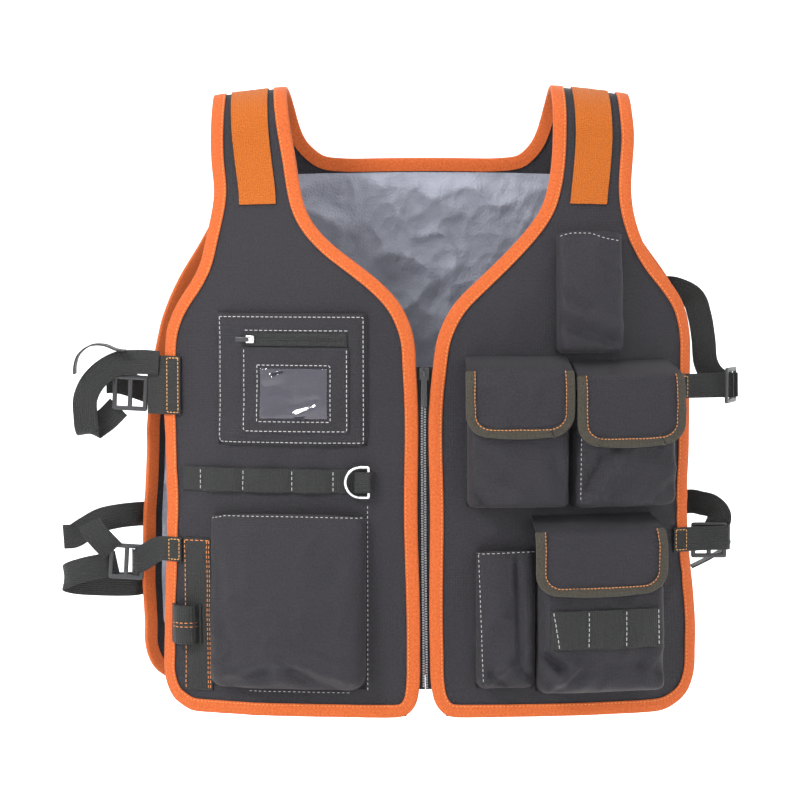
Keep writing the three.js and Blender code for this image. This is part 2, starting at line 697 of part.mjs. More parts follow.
// The flap's tape: a U swept round the sides and the lower edge of its lattice.
function flapBinding(lattice) {
  const rows = lattice.length;
  const start = FLAP_PROFILE.length - 1;
  const columns = lattice[0].length;
  const path = [];
  for (let i = start; i < rows; i += 1) path.push([i, 0]);
  for (let j = 1; j < columns - 1; j += 1) path.push([rows - 1, j]);
  for (let i = rows - 1; i >= start; i -= 1) path.push([i, columns - 1]);
  const near = FLAP_WALL / 2 + FLAP_BINDING_GAP;
  const far = near + TAPE;
  const wide = FLAP_BINDING_WIDTH;
  const section = [
    [-wide, far], [-wide, near], [GAP, near], [GAP, -near],
    [-wide, -near], [-wide, -far], [GAP + TAPE, -far], [GAP + TAPE, far],
  ];
  const points = [];
  path.forEach(([i, j], index) => {
    const at = lattice[i][j];
    const before = path[Math.max(index - 1, 0)];
    const after = path[Math.min(index + 1, path.length - 1)];
    const run = lattice[after[0]][after[1]].clone().sub(lattice[before[0]][before[1]]).normalize();
    const above = lattice[Math.max(i - 1, 0)][j];
    const below = lattice[Math.min(i + 1, rows - 1)][j];
    const beside = lattice[i][Math.max(j - 1, 0)];
    const beyond = lattice[i][Math.min(j + 1, columns - 1)];
    const normal = below.clone().sub(above).cross(beyond.clone().sub(beside)).normalize();
    const outward = run.clone().cross(normal).normalize();
    for (const [reach, lift] of section) {
      points.push(at.clone().addScaledVector(outward, reach).addScaledVector(normal, lift));
    }
  });
  return tubeOf(points, path.length, section.length);
}

// The zip: tapes behind the front edges, teeth in the middle, a slider at the top and a pull
// that hangs from it.
const zipMiddle = (down) => (edgeAt(FRONT_EDGES, FRONT_LENGTH, 'neckLeft', down)
  - edgeAt(FRONT_EDGES, FRONT_LENGTH, 'neckRight', down)) / 2;
const ZIP_HIGH = -CLOTH / 2 - INNER_GAP - TAPE - GAP;
const TEETH_GAP = 0.4;
const TEETH_LIFT = 0.3; // between the tapes and the teeth on them

function makeZip() {
  const bottom = FRONT_LENGTH - ZIP_END;
  const stops = [0, 0.25, 0.5, 0.75, 1].map((share) => mix(ZIP_TOP, bottom, share));
  for (const hand of ['right', 'left']) {
    const sign = SIDES[hand];
    const near = TEETH_GAP / 2;
    const line = (reach) => stops.map((down) => [zipMiddle(down) + sign * reach, down]);
    const pairs = (a, b) => line(a).map((point, i) => [point, line(b)[i]]);
    const tape = layer(FRONT, pairs(near, ZIP_TAPE_WIDTH), ZIP_HIGH - TAPE, ZIP_HIGH);
    addMesh(`zip_tape_${hand}`, tape, 'cloth');
    const low = ZIP_HIGH + TEETH_LIFT;
    const teeth = layer(FRONT, pairs(near, near + TEETH_WIDTH), low, low + TEETH_DEPTH);
    addMesh(`zip_teeth_${hand}`, teeth, 'plastic');
  }
  const seat = ZIP_HIGH + TEETH_LIFT + TEETH_DEPTH + NEAR;
  const down = ZIP_TOP + ZIP_SLIDER.length / 2;
  addSlider('zip', frontFrame(zipMiddle(down), down, seat), { ...ZIP_SLIDER, turn: 0 });
}

// A slider: a tapered plate with an arch on it, and a flat pull whose top bar passes under the
// arch and swings there. Both hang along local -Z and face local -Y.
const ARCH = { half: 2.6, wall: 1, width: 2 };
const PULL_BAR = 1.4;
const PULL_HOLE = 3.2;
const PULL_RIM = 1.4;
const SLIDER_WALL = 1.8;

function addSlider(name, frame, size) {
  const group = new THREE.Group();
  const plate = new THREE.Shape([
    new THREE.Vector2(-size.width / 2, size.length / 2),
    new THREE.Vector2(-size.width / 3, -size.length / 2),
    new THREE.Vector2(size.width / 3, -size.length / 2),
    new THREE.Vector2(size.width / 2, size.length / 2),
  ]);
  const body = new THREE.ExtrudeGeometry(plate, { depth: SLIDER_WALL, bevelEnabled: false });
  body.rotateX(Math.PI / 2);
  const inside = ARCH.half - ARCH.wall;
  const axis = SLIDER_WALL + inside;
  const side = new THREE.Shape([
    new THREE.Vector2(-ARCH.half, SLIDER_WALL - NEAR),
    new THREE.Vector2(-ARCH.half, axis + ARCH.half),
    new THREE.Vector2(ARCH.half, axis + ARCH.half),
    new THREE.Vector2(ARCH.half, SLIDER_WALL - NEAR),
    new THREE.Vector2(inside, SLIDER_WALL - NEAR),
    new THREE.Vector2(inside, axis + inside),
    new THREE.Vector2(-inside, axis + inside),
    new THREE.Vector2(-inside, SLIDER_WALL - NEAR),
  ]);
  const arch = new THREE.ExtrudeGeometry(side, { depth: ARCH.width, bevelEnabled: false });
  arch.translate(0, 0, -ARCH.width / 2);
  arch.applyMatrix4(new THREE.Matrix4().makeBasis(
    vector(0, 0, 1), vector(0, -1, 0), vector(1, 0, 0),
  ));
  const slider = geometryOf(solidOf(body).add(solidOf(arch)));
  group.add(addMesh(`${name}_slider`, slider, 'steel'));

  const half = size.breadth / 2;
  const hole = half - PULL_RIM;
  const link = new THREE.Shape([
    new THREE.Vector2(-half, PULL_BAR / 2),
    new THREE.Vector2(-half * 0.8, -size.reach),
    new THREE.Vector2(half * 0.8, -size.reach),
    new THREE.Vector2(half, PULL_BAR / 2),
  ]);
  link.holes.push(new THREE.Path([
    new THREE.Vector2(-hole, -PULL_BAR / 2),
    new THREE.Vector2(hole, -PULL_BAR / 2),
    new THREE.Vector2(hole, -PULL_BAR / 2 - PULL_HOLE),
    new THREE.Vector2(-hole, -PULL_BAR / 2 - PULL_HOLE),
  ]));
  const tab = new THREE.ExtrudeGeometry(link, { depth: PULL_WALL, bevelEnabled: false });
  tab.translate(0, 0, -PULL_WALL / 2);
  tab.rotateX(Math.PI / 2);
  const pull = addMesh(`${name}_pull`, tab, 'steel');
  pull.position.y = -axis;
  group.add(pull);
  group.position.copy(frame.at);
  group.rotation.set(0, size.turn, frame.yaw, 'ZYX');
  vest.add(group);
}

// Solids are joined by their volume, so that a slider or a buckle is one body.
function solidOf(geometry) {
  const bare = geometry.clone();
  bare.deleteAttribute('normal');
  bare.deleteAttribute('uv');
  const merged = mergeVertices(bare, 1e-4);
  return new manifold.Manifold(new manifold.Mesh({
    numProp: 3,
    vertProperties: merged.attributes.position.array,
    triVerts: new Uint32Array(merged.index.array),
  }));
}

function geometryOf(solid) {
  const mesh = solid.getMesh();
  const geometry = new THREE.BufferGeometry();
  geometry.setAttribute('position', new THREE.Float32BufferAttribute(mesh.vertProperties, 3));
  geometry.setIndex([...mesh.triVerts]);
  return geometry;
}

// A place on the front, turned with the cloth: local +X runs across it and -Y faces out.
function frontFrame(x, down, lift) {
  const ahead = place(FRONT, x + 5, down, lift).sub(place(FRONT, x - 5, down, lift));
  return { at: place(FRONT, x, down, lift), yaw: Math.atan2(ahead.y, ahead.x) };
}

// The flat pocket on the right front carries a card pocket with a zip over it and a window.
const ON_ID_POCKET = [
  {
    name: 'card_pocket', left: -0.615, right: -0.258, top: 0.4375, bottom: 0.568,
    wall: PATCH, level: 0, finish: 'cloth',
  },
  {
    name: 'card_zip', left: -0.605, right: -0.263, top: 0.4155, bottom: 0.436,
    wall: PATCH, level: 0, finish: 'plastic',
  },
  {
    name: 'card_window', left: -0.553, right: -0.33, top: 0.469, bottom: 0.5455,
    wall: FILM, level: 1, finish: 'film',
  },
];
const PATCH_COLUMNS = [0, 0.33, 0.67, 1];
const CARD_SLIDER_AT = 0.06; // as a share of the card zip's run

function makeCardPocket() {
  const base = CLOTH / 2 + GAP + boxOf('id_pocket').depth + GAP;
  for (const row of ON_ID_POCKET) {
    const low = base + row.level * (PATCH + GAP);
    const lines = [row.top, row.bottom].map((share) => PATCH_COLUMNS.map(
      (part) => [mix(across(row.left), across(row.right), part), along(share)],
    ));
    addMesh(row.name, layer(FRONT, lines, low, low + row.wall), row.finish);
  }
  const zip = ON_ID_POCKET[1];
  const x = mix(across(zip.left), across(zip.right), CARD_SLIDER_AT);
  const frame = frontFrame(x, along((zip.top + zip.bottom) / 2), base + PATCH + NEAR);
  addSlider('card', frame, { ...CARD_SLIDER, turn: Math.PI / 2 });
}

// Webbing on the fronts: tool loops, the hammer strip and its loop, and pocket C's loops.
const flatStand = () => 0;
const STRIPS = [
  {
    name: 'tool_webbing', left: -0.825, right: -0.194, middle: 0.641, height: STRAP_WIDTH,
    stand: flatStand, raise: 0, wall: WEBBING,
    stitches: [
      { at: 0, bulge: 0 }, { at: 0.1, bulge: 3 }, { at: 0.33, bulge: 3 }, { at: 0.59, bulge: 3 },
      { at: 0.81, bulge: 0 }, { at: 1, bulge: 0 },
    ],
  },
  {
    name: 'hammer_loop', left: -0.862, right: -0.76, middle: 0.865, height: LOOP_WIDTH,
    stand: flatStand, raise: WEBBING + GAP, wall: WEBBING,
    stitches: [{ at: 0, bulge: 11 }, { at: 1, bulge: 0 }],
  },
  {
    name: 'pocket_c_webbing', left: 0.4, right: 0.745, middle: 0.861, height: LOOP_WIDTH,
    stand: (x, down) => standOf(boxOf('flap_pocket_c'), x, down),
    raise: 0.3, wall: WEBBING,
    stitches: [
      { at: 0, bulge: 2 }, { at: 0.34, bulge: 2 }, { at: 0.68, bulge: 2 }, { at: 1, bulge: 0 },
    ],
  },
];
const HAMMER_STRIP = { left: -0.824, right: -0.727, top: 0.732, bottom: 0.968 };

function makeWebbing() {
  for (const row of STRIPS) {
    const box = {
      left: across(row.left),
      right: across(row.right),
      top: along(row.middle) - row.height / 2,
      bottom: along(row.middle) + row.height / 2,
      stand: (x, down) => row.stand(x, down) + row.raise,
    };
    addMesh(row.name, strip(box, row.wall, row.stitches), 'webbing');
  }
  const box = {
    left: across(HAMMER_STRIP.left),
    right: across(HAMMER_STRIP.right),
    top: along(HAMMER_STRIP.top),
    bottom: along(HAMMER_STRIP.bottom),
    stand: flatStand,
  };
  const even = [{ at: 0, bulge: 0 }, { at: 1, bulge: 0 }];
  addMesh('hammer_strip', strip(box, WEBBING, even, true), 'webbing');
}

// The D-ring lies over its keeper, whose fold holds the ring's straight bar.
function makeRing() {
  const webbing = STRIPS[0];
  const wire = RING_WIRE / 2;
  const inner = wire + NEAR;
  const outer = inner + KEEPER_WALL;
  const top = CLOTH / 2 + GAP + WEBBING + GAP;
  const frame = frontFrame(across(webbing.right), along(webbing.middle), top + outer);
  const group = new THREE.Group();
  group.position.copy(frame.at);
  group.rotation.z = frame.yaw;
  vest.add(group);

  const half = RING_HEIGHT / 2 - wire;
  const leg = RING_REACH - RING_WIRE - half;
  const path = [[0, -half], [0, 0], [0, half], [-leg, half]];
  for (let i = 1; i < RING_BOW; i += 1) {
    const angle = Math.PI / 2 + Math.PI * i / RING_BOW;
    path.push([-leg + half * Math.cos(angle), half * Math.sin(angle)]);
  }
  path.push([-leg, -half]);
  const points = [];
  path.forEach(([x, z], index) => {
    const before = path[(index + path.length - 1) % path.length];
    const after = path[(index + 1) % path.length];
    const run = vector(after[0] - before[0], 0, after[1] - before[1]).normalize();
    const out = vector(0, 1, 0).cross(run);
    for (let side = 0; side < RING_SIDES; side += 1) {
      const angle = 2 * Math.PI * side / RING_SIDES;
      const point = vector(x, 0, z).addScaledVector(out, wire * Math.cos(angle));
      points.push(point.add(vector(0, -wire * Math.sin(angle), 0)));
    }
  });
  group.add(addMesh('d_ring', tubeOf(points, path.length, RING_SIDES, true), 'steel'));

  const end = -KEEPER_LENGTH;
  const shape = new THREE.Shape();
  shape.moveTo(end, outer);
  shape.lineTo(0, outer);
  shape.absarc(0, 0, outer, Math.PI / 2, -Math.PI / 2, true);
  shape.lineTo(end, outer - 2 * KEEPER_WALL - GAP);
  shape.lineTo(end, outer - KEEPER_WALL - GAP);
  shape.lineTo(0, -inner);
  shape.absarc(0, 0, inner, -Math.PI / 2, Math.PI / 2, false);
  shape.lineTo(end, inner);
  shape.closePath();
  const keeper = new THREE.ExtrudeGeometry(shape, {
    depth: KEEPER_WIDTH, bevelEnabled: false, curveSegments: 6,
  });
  keeper.translate(0, 0, -KEEPER_WIDTH / 2);
  group.add(addMesh('d_ring_keeper', keeper, 'webbing'));
}

// Webbing that hangs free: a flat ribbon through points, its width along `wide` where given
// and else as near upright as the run allows.
function ribbon(stops, width, wall) {
  const curve = new THREE.CatmullRomCurve3(stops.map((stop) => stop.at), false, 'centripetal');
  const wide = new THREE.CatmullRomCurve3(
    stops.map((stop) => stop.wide ?? vector(0, 0, 1)), false, 'centripetal',
  );
  const steps = (stops.length - 1) * 2;
  const points = [];
  for (let i = 0; i <= steps; i += 1) {
    const run = curve.getTangent(i / steps);
    const span = wide.getPoint(i / steps);
    span.addScaledVector(run, -span.dot(run)).normalize();
    const face = run.clone().cross(span);
    for (const [a, b] of [[-1, -1], [-1, 1], [1, 1], [1, -1]]) {
      points.push(curve.getPoint(i / steps)
        .addScaledVector(span, a * width / 2).addScaledVector(face, b * wall / 2));
    }
  }
  return tubeOf(points, steps + 1, 4);
}

// A ladder-lock buckle: a rounded frame with a middle bar and two slots.
function addBuckle(name, at, yaw, tilt) {
  const half = BUCKLE_LENGTH / 2;
  const tall = BUCKLE_HEIGHT / 2;
  const cut = 4;
  const plate = new THREE.Shape([
    new THREE.Vector2(-half + cut, -tall), new THREE.Vector2(half - cut, -tall),
    new THREE.Vector2(half, -tall + cut), new THREE.Vector2(half, tall - cut),
    new THREE.Vector2(half - cut, tall), new THREE.Vector2(-half + cut, tall),
    new THREE.Vector2(-half, tall - cut), new THREE.Vector2(-half, -tall + cut),
  ]);
  const slot = (BUCKLE_LENGTH - 3 * BUCKLE_BAR) / 2;
  const tools = [-1, 1].map((sign) => new THREE.BoxGeometry(
    slot, BUCKLE_HEIGHT - 2 * BUCKLE_BAR, 3 * BUCKLE_WALL,
  ).translate(sign * (slot + BUCKLE_BAR) / 2, 0, 0));
  const blank = new THREE.ExtrudeGeometry(plate, { depth: BUCKLE_WALL, bevelEnabled: false });
  blank.translate(0, 0, -BUCKLE_WALL / 2);
  const cutOut = (solid, tool) => solid.subtract(solidOf(tool));
  const body = geometryOf(tools.reduce(cutOut, solidOf(blank)));
  body.rotateX(Math.PI / 2);
  const buckle = addMesh(name, body, 'plastic');
  buckle.position.copy(at);
  buckle.rotation.set(0, tilt, yaw, 'ZYX');
}

// Side straps. Their free runs are listed in millimetres from the front's edge: outward,
// backward and upward, with the webbing's width direction where it isn't upright.
const UPRIGHT = [0, 0, 1];
const SIDEWAYS = [1, 0, 0];
const DEEP = [0, 1, 0];
const SLANT = [0.7, 0, 0.7];
const BACKSLANT = [-0.75, 0, 0.65];
const TAB_REACH = 16; // how far a strap's sewn end reaches in over the front's edge
const BACK_REACH = 24;
const STRAPS = [
  {
    name: 'upper_right', hand: 'right', down: 0.499, tabWidth: 60,
    tab: [[9, 4.5, 0], [18, 8, 0]],
    buckle: { at: [36.5, 13, -9], yaw: 0.12, tilt: 0.04 },
    runs: [
      {
        name: 'loop',
        stops: [
          [6, 0.6, 22], [18, 4, 23], [32, 6, 23], [46, 6, 22, 0.2, 0, 0.98], [62, 6, 14, ...SLANT],
          [75, 6, 1, 0.92, 0, 0.38], [82, 6, -15, ...SIDEWAYS], [82, 7, -32, ...SIDEWAYS],
          [81, 9, -45, ...SIDEWAYS], [79, 15, -51, ...SIDEWAYS], [73, 20, -45, 0.9, 0, 0.4],
          [61, 20.5, -36, ...SLANT], [49, 18.8, -24, ...SLANT],
        ],
      },
      {
        name: 'fold',
        stops: [
          [49, 6, 35.6, ...DEEP], [62, 6, 40.5, ...DEEP], [76, 6, 40, ...DEEP], [88, 6, 31, ...DEEP],
          [92, 6, 20, ...DEEP], [92.5, 6, 11, ...DEEP],
        ],
      },
      {
        name: 'back', down: 0.53,
        stops: [[62, 24, 2], [54, 27, 2], [44, 32, 0], [34, 39, -4]],
      },
    ],
  },
  {
    name: 'lower_right', hand: 'right', down: 0.751, tabWidth: STRAP_WIDTH,
    tab: [[9, 4.5, -1], [18, 7.4, -6], [26.5, 8.2, -12], [34, 9.4, -15], [37, 19, -15]],
    buckle: { at: [43, 14, -15], yaw: 0.08, tilt: 0.05 },
    runs: [
      {
        name: 'loop', down: 0.837,
        stops: [
          [53, 21, -17], [62, 18.5, -19], [84, 15, -23], [102, 17, -29], [108, 25, -34],
          [99, 34, -39], [66, 40, -42], [38, 42, -42],
        ],
      },
      {
        name: 'back', down: 0.726,
        stops: [
          [108, 16, 10], [97, 17, 11], [86, 19, 18, 0, 0.3, 0.95], [72, 23, 26, 0, 0.4, 0.9],
          [52, 31, 30], [36, 40, 31],
        ],
      },
      {
        name: 'fold',
        stops: [
          [57, 11, -4, ...BACKSLANT], [64, 7, 4, ...BACKSLANT], [71, 6, 12, ...BACKSLANT],
          [77, 7, 20, ...BACKSLANT], [80, 9, 26, ...BACKSLANT],
        ],
      },
    ],
  },
  {
    name: 'upper_left', hand: 'left', down: 0.501, tabWidth: STRAP_WIDTH,
    tab: [[12, 6, 0], [24, 10, 0], [34, 11.5, 0], [41, 12, 0], [45, 9.5, 0]],
    buckle: { at: [43, 19, 0], yaw: 1.2, tilt: 0 },
    runs: [
      {
        name: 'back', down: 0.365,
        stops: [
          [51, 24, 0], [44, 27, 0], [36, 30, 2, 0.2, 0, 0.98], [26, 33, 9, 0.6, 0, 0.8],
          [19, 36, 22, 0.92, 0, 0.38], [17, 42, 46, ...SIDEWAYS], [14, 54, 70, 0.98, 0, 0.2],
          [8, 67, 88, 0.9, 0, 0.43],
        ],
      },
    ],
  },
  {
    name: 'lower_left', hand: 'left', down: 0.737, tabWidth: STRAP_WIDTH,
    tab: [
      [12, 6, 0], [24, 9.5, 0], [35, 11.5, 0], [42, 14, 0], [43.5, 18, 0], [41, 21.9, 0],
      [34, 22.6, 0],
    ],
    buckle: { at: [22.3, 18, -3], yaw: 0, tilt: 0 },
    runs: [
      {
        name: 'back', down: 0.71,
        stops: [
          [30, 26, 8, 0.9, 0, 0.4], [34, 27, 20, ...SLANT], [28, 31, 30], [16, 40, 33], [8, 48, 34],
        ],
      },
      {
        name: 'end',
        stops: [
          [40.8, 38.6, 3, ...DEEP], [45, 38, -6, ...DEEP], [40, 37, -14, ...DEEP],
          [24, 37, -24, ...DEEP], [6, 37, -33, ...DEEP],
        ],
      },
    ],
  },
];

function makeStraps() {
  for (const strap of STRAPS) {
    const sign = SIDES[strap.hand];
    const arm = strap.hand === 'right' ? 'armRight' : 'armLeft';
    const down = along(strap.down);
    const edge = edgeAt(FRONT_EDGES, FRONT_LENGTH, arm, down);
    const lift = CLOTH / 2 + GAP + TAPE + GAP + WEBBING / 2;
    const anchor = place(FRONT, sign * edge, down, lift);
    const free = ([out, back, up, ...wide]) => ({
      at: anchor.clone().add(vector(sign * out, back, up)),
      wide: wide.length ? vector(sign * wide[0], wide[1], wide[2]) : vector(...UPRIGHT),
    });
    const sewn = [TAB_REACH, TAB_REACH / 2, 0].map((reach) => ({
      at: place(FRONT, sign * (edge - reach), down, lift),
    }));
    const tab = ribbon([...sewn, ...strap.tab.map(free)], strap.tabWidth, WEBBING);
    addMesh(`strap_${strap.name}_front`, tab, 'webbing');
    const { at, yaw, tilt } = strap.buckle;
    addBuckle(`buckle_${strap.name}`, free(at).at, sign * yaw, -sign * tilt);
    for (const run of strap.runs) {
      const stops = run.stops.map(free);
      if (run.down) {
        const far = run.down * BACK_LENGTH;
        const backEdge = edgeAt(BACK_EDGES, BACK_LENGTH, arm, far);
        for (const reach of [0, BACK_REACH / 2, BACK_REACH]) {
          stops.push({ at: place(BACK, sign * (backEdge - reach), far, lift + GAP) });
        }
      }
      addMesh(`strap_${strap.name}_${run.name}`, ribbon(stops, STRAP_WIDTH, WEBBING), 'webbing');
    }
  }
}

makeFronts();
makeBack();
makeLining();
makeShoulderTapes();
makePockets();
makeFlaps();
makeZip();
makeCardPocket();
makeWebbing();
makeRing();
makeStraps();

export default vest;
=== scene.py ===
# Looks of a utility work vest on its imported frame: cloth, tape, webbing, stitches and hardware.
# Lengths are in millimetres until a mesh is made. Right and left are the wearer's.
import math

import bmesh
import bpy
import numpy as np
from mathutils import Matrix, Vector


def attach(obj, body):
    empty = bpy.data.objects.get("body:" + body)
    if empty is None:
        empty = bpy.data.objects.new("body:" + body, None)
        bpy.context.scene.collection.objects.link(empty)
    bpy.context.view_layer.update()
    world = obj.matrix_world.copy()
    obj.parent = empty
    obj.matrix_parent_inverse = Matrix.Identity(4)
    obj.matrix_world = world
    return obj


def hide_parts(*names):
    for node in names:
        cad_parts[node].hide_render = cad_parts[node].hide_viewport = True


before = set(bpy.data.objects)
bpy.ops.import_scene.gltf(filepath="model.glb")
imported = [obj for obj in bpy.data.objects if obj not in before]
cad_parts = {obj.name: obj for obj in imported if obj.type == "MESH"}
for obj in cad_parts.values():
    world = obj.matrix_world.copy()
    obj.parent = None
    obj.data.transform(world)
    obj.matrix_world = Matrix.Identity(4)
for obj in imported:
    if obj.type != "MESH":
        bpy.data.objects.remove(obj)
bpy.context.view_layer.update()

# The vest's form, with the same sizes as the solids
HALF_BREADTH = 300.0
LENGTH = {-1: 667.0, 1: 648.0}
SHOULDER_RADIUS = 42.0
SHOULDER_DROP = 30.0
SHOULDER_FADE = 120.0
CHEST_FALL = 200.0
CHEST = {-1: 88.0, 1: 78.0}
HEM = {-1: 80.0, 1: 74.0}
SHOULDER_ARC = SHOULDER_RADIUS * math.pi / 2
FRONT = -1
BACK = 1
SIGN = {"right": -1, "left": 1}

CLOTH = 2.0
WEBBING = 1.6
GAP = 0.5
INNER_GAP = 1.1
TAPE = 1.0
BINDING_WIDTH = 12.0
STRAP_WIDTH = 25.0
LOOP_WIDTH = 40.0
MM = 0.001

# Edges of the panels: share of the length, then the right arm, right neck, left arm and left
# neck edges as shares of HALF_BREADTH.
FRONT_EDGES = np.array([
    (0, 0.722, 0.481, 0.684, 0.426),
    (0.025, 0.722, 0.48, 0.687, 0.427),
    (0.05, 0.724, 0.478, 0.691, 0.43),
    (0.075, 0.726, 0.473, 0.695, 0.432),
    (0.1, 0.728, 0.466, 0.7, 0.432),
    (0.15, 0.725, 0.447, 0.694, 0.428),
    (0.2, 0.715, 0.43, 0.688, 0.411),
    (0.229, 0.722, 0.414, 0.694, 0.39),
    (0.257, 0.734, 0.379, 0.709, 0.348),
    (0.285, 0.746, 0.32, 0.732, 0.293),
    (0.313, 0.76, 0.239, 0.77, 0.231),
    (0.34, 0.79, 0.162, 0.82, 0.168),
    (0.368, 0.832, 0.102, 0.863, 0.104),
    (0.41, 0.873, 0.056, 0.89, 0.05),
    (0.48, 0.885, 0.04, 0.894, 0.022),
    (0.7, 0.876, 0.036, 0.885, 0.016),
    (0.9, 0.891, 0.027, 0.919, 0.016),
    (0.96, 0.886, 0.03, 0.908, 0.022),
    (0.982, 0.862, 0.038, 0.882, 0.034),
    (1, 0.805, 0.07, 0.815, 0.068),
])
BACK_EDGES = np.array([
    (0, 0.722, 0.481, 0.684, 0.426),
    (0.0257, 0.722, 0.474, 0.687, 0.422),
    (0.0515, 0.724, 0.465, 0.691, 0.416),
    (0.0772, 0.726, 0.454, 0.697, 0.406),
    (0.103, 0.728, 0.44, 0.7, 0.392),
    (0.13, 0.727, 0.412, 0.697, 0.368),
    (0.153, 0.725, 0.36, 0.694, 0.325),
    (0.2, 0.718, 0.36, 0.69, 0.325),
    (0.24, 0.725, 0.36, 0.7, 0.33),
    (0.27, 0.757, 0.365, 0.725, 0.335),
    (0.3, 0.792, 0.37, 0.765, 0.34),
    (0.33, 0.832, 0.38, 0.81, 0.35),
    (0.36, 0.866, 0.39, 0.85, 0.36),
    (0.4, 0.9, 0.4, 0.882, 0.37),
    (0.46, 0.93, 0.42, 0.892, 0.38),
    (0.68, 0.965, 0.42, 0.882, 0.38),
    (0.9, 0.97, 0.42, 0.885, 0.38),
    (0.955, 0.962, 0.42, 0.876, 0.38),
    (0.98, 0.935, 0.42, 0.85, 0.38),
    (1, 0.87, 0.42, 0.785, 0.38),
])
EDGES = {FRONT: FRONT_EDGES, BACK: BACK_EDGES}
COLUMN = {("right", "arm"): 1, ("right", "neck"): 2, ("left", "arm"): 3, ("left", "neck"): 4}
NECK_AT = 0.153 * LENGTH[BACK]
NECK_DIP = 3.0
STRAP_MIDDLE = (0.722 + 0.481) / 2 * HALF_BREADTH
RAISE = SHOULDER_DROP * (STRAP_MIDDLE / HALF_BREADTH) ** 2 + CLOTH / 2


def hermite(knots, values, at):
    """A smooth curve through the values at the knots."""
    knots, values = np.asarray(knots, float), np.asarray(values, float)
    at = np.atleast_1d(np.asarray(at, float))
    slope = np.gradient(values, knots, axis=0)
    i = np.clip(np.searchsorted(knots, at, side="right") - 1, 0, len(knots) - 2)
    h = knots[i + 1] - knots[i]
    t = (at - knots[i]) / h
    if values.ndim > 1:
        h = h[:, None]
        t = t[:, None]
    return ((2 * t ** 3 - 3 * t ** 2 + 1) * values[i] + (t ** 3 - 2 * t ** 2 + t) * h * slope[i]
            + (3 * t ** 2 - 2 * t ** 3) * values[i + 1] + (t ** 3 - t ** 2) * h * slope[i + 1])


def edge(side, hand, where, down, smooth=True):
    """An edge's distance from the middle, signed towards that hand."""
    table = EDGES[side]
    column = table[:, COLUMN[hand, where]]
    share = np.clip(np.asarray(down, float) / LENGTH[side], 0, 1)
    if smooth:
        value = hermite(table[:, 0], column, share.ravel()).reshape(share.shape)
    else:
        value = np.interp(share, table[:, 0], column)
    return SIGN[hand] * HALF_BREADTH * value


def ripple(u, v, seed):
    """Smooth noise from -1 to 1, one cell a unit."""
    u, v = np.broadcast_arrays(np.asarray(u, float), np.asarray(v, float))
    iu, iv = np.floor(u).astype(np.int64), np.floor(v).astype(np.int64)
    fu, fv = u - iu, v - iv

    def corner(a, b):
        h = (a * 374761393 + b * 668265263 + seed * 974711) & 0x7FFFFFFF
        h = ((h ^ (h >> 13)) * 1274126177) & 0x7FFFFFFF
        return (h ^ (h >> 16)) / 0x3FFFFFFF - 1

    su = fu ** 3 * (fu * (6 * fu - 15) + 10)
    sv = fv ** 3 * (fv * (6 * fv - 15) + 10)
    low = corner(iu, iv) * (1 - su) + corner(iu + 1, iv) * su
    high = corner(iu, iv + 1) * (1 - su) + corner(iu + 1, iv + 1) * su
    return low * (1 - sv) + high * sv


def crease(u, v, seed, sharp):
    """Noise with narrow ridges, from 0 to 1."""
    return np.clip(1 - np.abs(ripple(u, v, seed)) * 1.6, 0, 1) ** sharp


def skin(side, x, down):
    """The even form of the front or the back, from x and the way down from the shoulder."""
    x, down = np.broadcast_arrays(np.asarray(x, float), np.asarray(down, float))
    fall = np.maximum(down - SHOULDER_ARC, 0)
    share = np.minimum(fall / CHEST_FALL, 1)
    below = np.maximum(fall - CHEST_FALL, 0) / (LENGTH[side] - SHOULDER_ARC - CHEST_FALL)
    swell = SHOULDER_RADIUS + (CHEST[side] - SHOULDER_RADIUS) * share ** 2 * (3 - 2 * share)
    swell = swell - (CHEST[side] - HEM[side]) * below
    arc = down <= SHOULDER_ARC
    out = np.where(arc, SHOULDER_RADIUS * np.sin(down / SHOULDER_RADIUS), swell)
    up = np.where(arc, SHOULDER_RADIUS * (np.cos(down / SHOULDER_RADIUS) - 1), -SHOULDER_RADIUS - fall)
    rim = np.minimum(np.abs(x) / HALF_BREADTH, 1)
    section = (1 - rim ** 2.4) ** 0.75
    drop = SHOULDER_DROP * (x / HALF_BREADTH) ** 2 * np.exp(-(down / SHOULDER_FADE) ** 2)
    return np.stack([x, side * section * out, up - drop], -1)


def unit(v):
    return v / np.maximum(np.linalg.norm(v, axis=-1, keepdims=True), 1e-9)


# Places x and down where hard pieces move, and the cloth lies even
CALM = [(-66, 428), (-184, 284)]
CALM_REACH = 38


def panel_wrinkle(side, x, down):
    """Short creases of the cloth, none where hard pieces move or by the zip."""
    fade = np.clip((down - 110) / 200, 0, 1)
    slow = 0.9 * ripple(x / 30 + down / 140, down / 52, 25)
    sharp = 1.3 * crease(x / 44 + down / 80, down / 70 - x / 150, 23, 2.0)
    fine = 0.25 * ripple(x / 12, down / 18, 21)
    if side == FRONT:
        fade = fade * np.clip((np.abs(x) - 12) / 50, 0, 1)
        for at_x, at_down in CALM:
            fade = fade * (1 - np.exp(-((x - at_x) ** 2 + (down - at_down) ** 2) / CALM_REACH ** 2))
    return fade * (slow + sharp + fine - 0.5)


def drape(side, x, down):
    """Slow waves of the cloth, which the shoulders stretch flat."""
    fade = np.clip((down - 90) / 160, 0, 1)
    seed = 3 if side == FRONT else 8
    wave = 1.3 * ripple(x / 95, down / 150, seed) + 0.6 * ripple(x / 48, down / 60, seed + 1)
    hem = np.clip((down - 0.86 * LENGTH[side]) / 80, 0, 1) * 1.1 * ripple(x / 42, down / 200, seed + 2)
    return fade * (wave + hem) + panel_wrinkle(side, x, down)


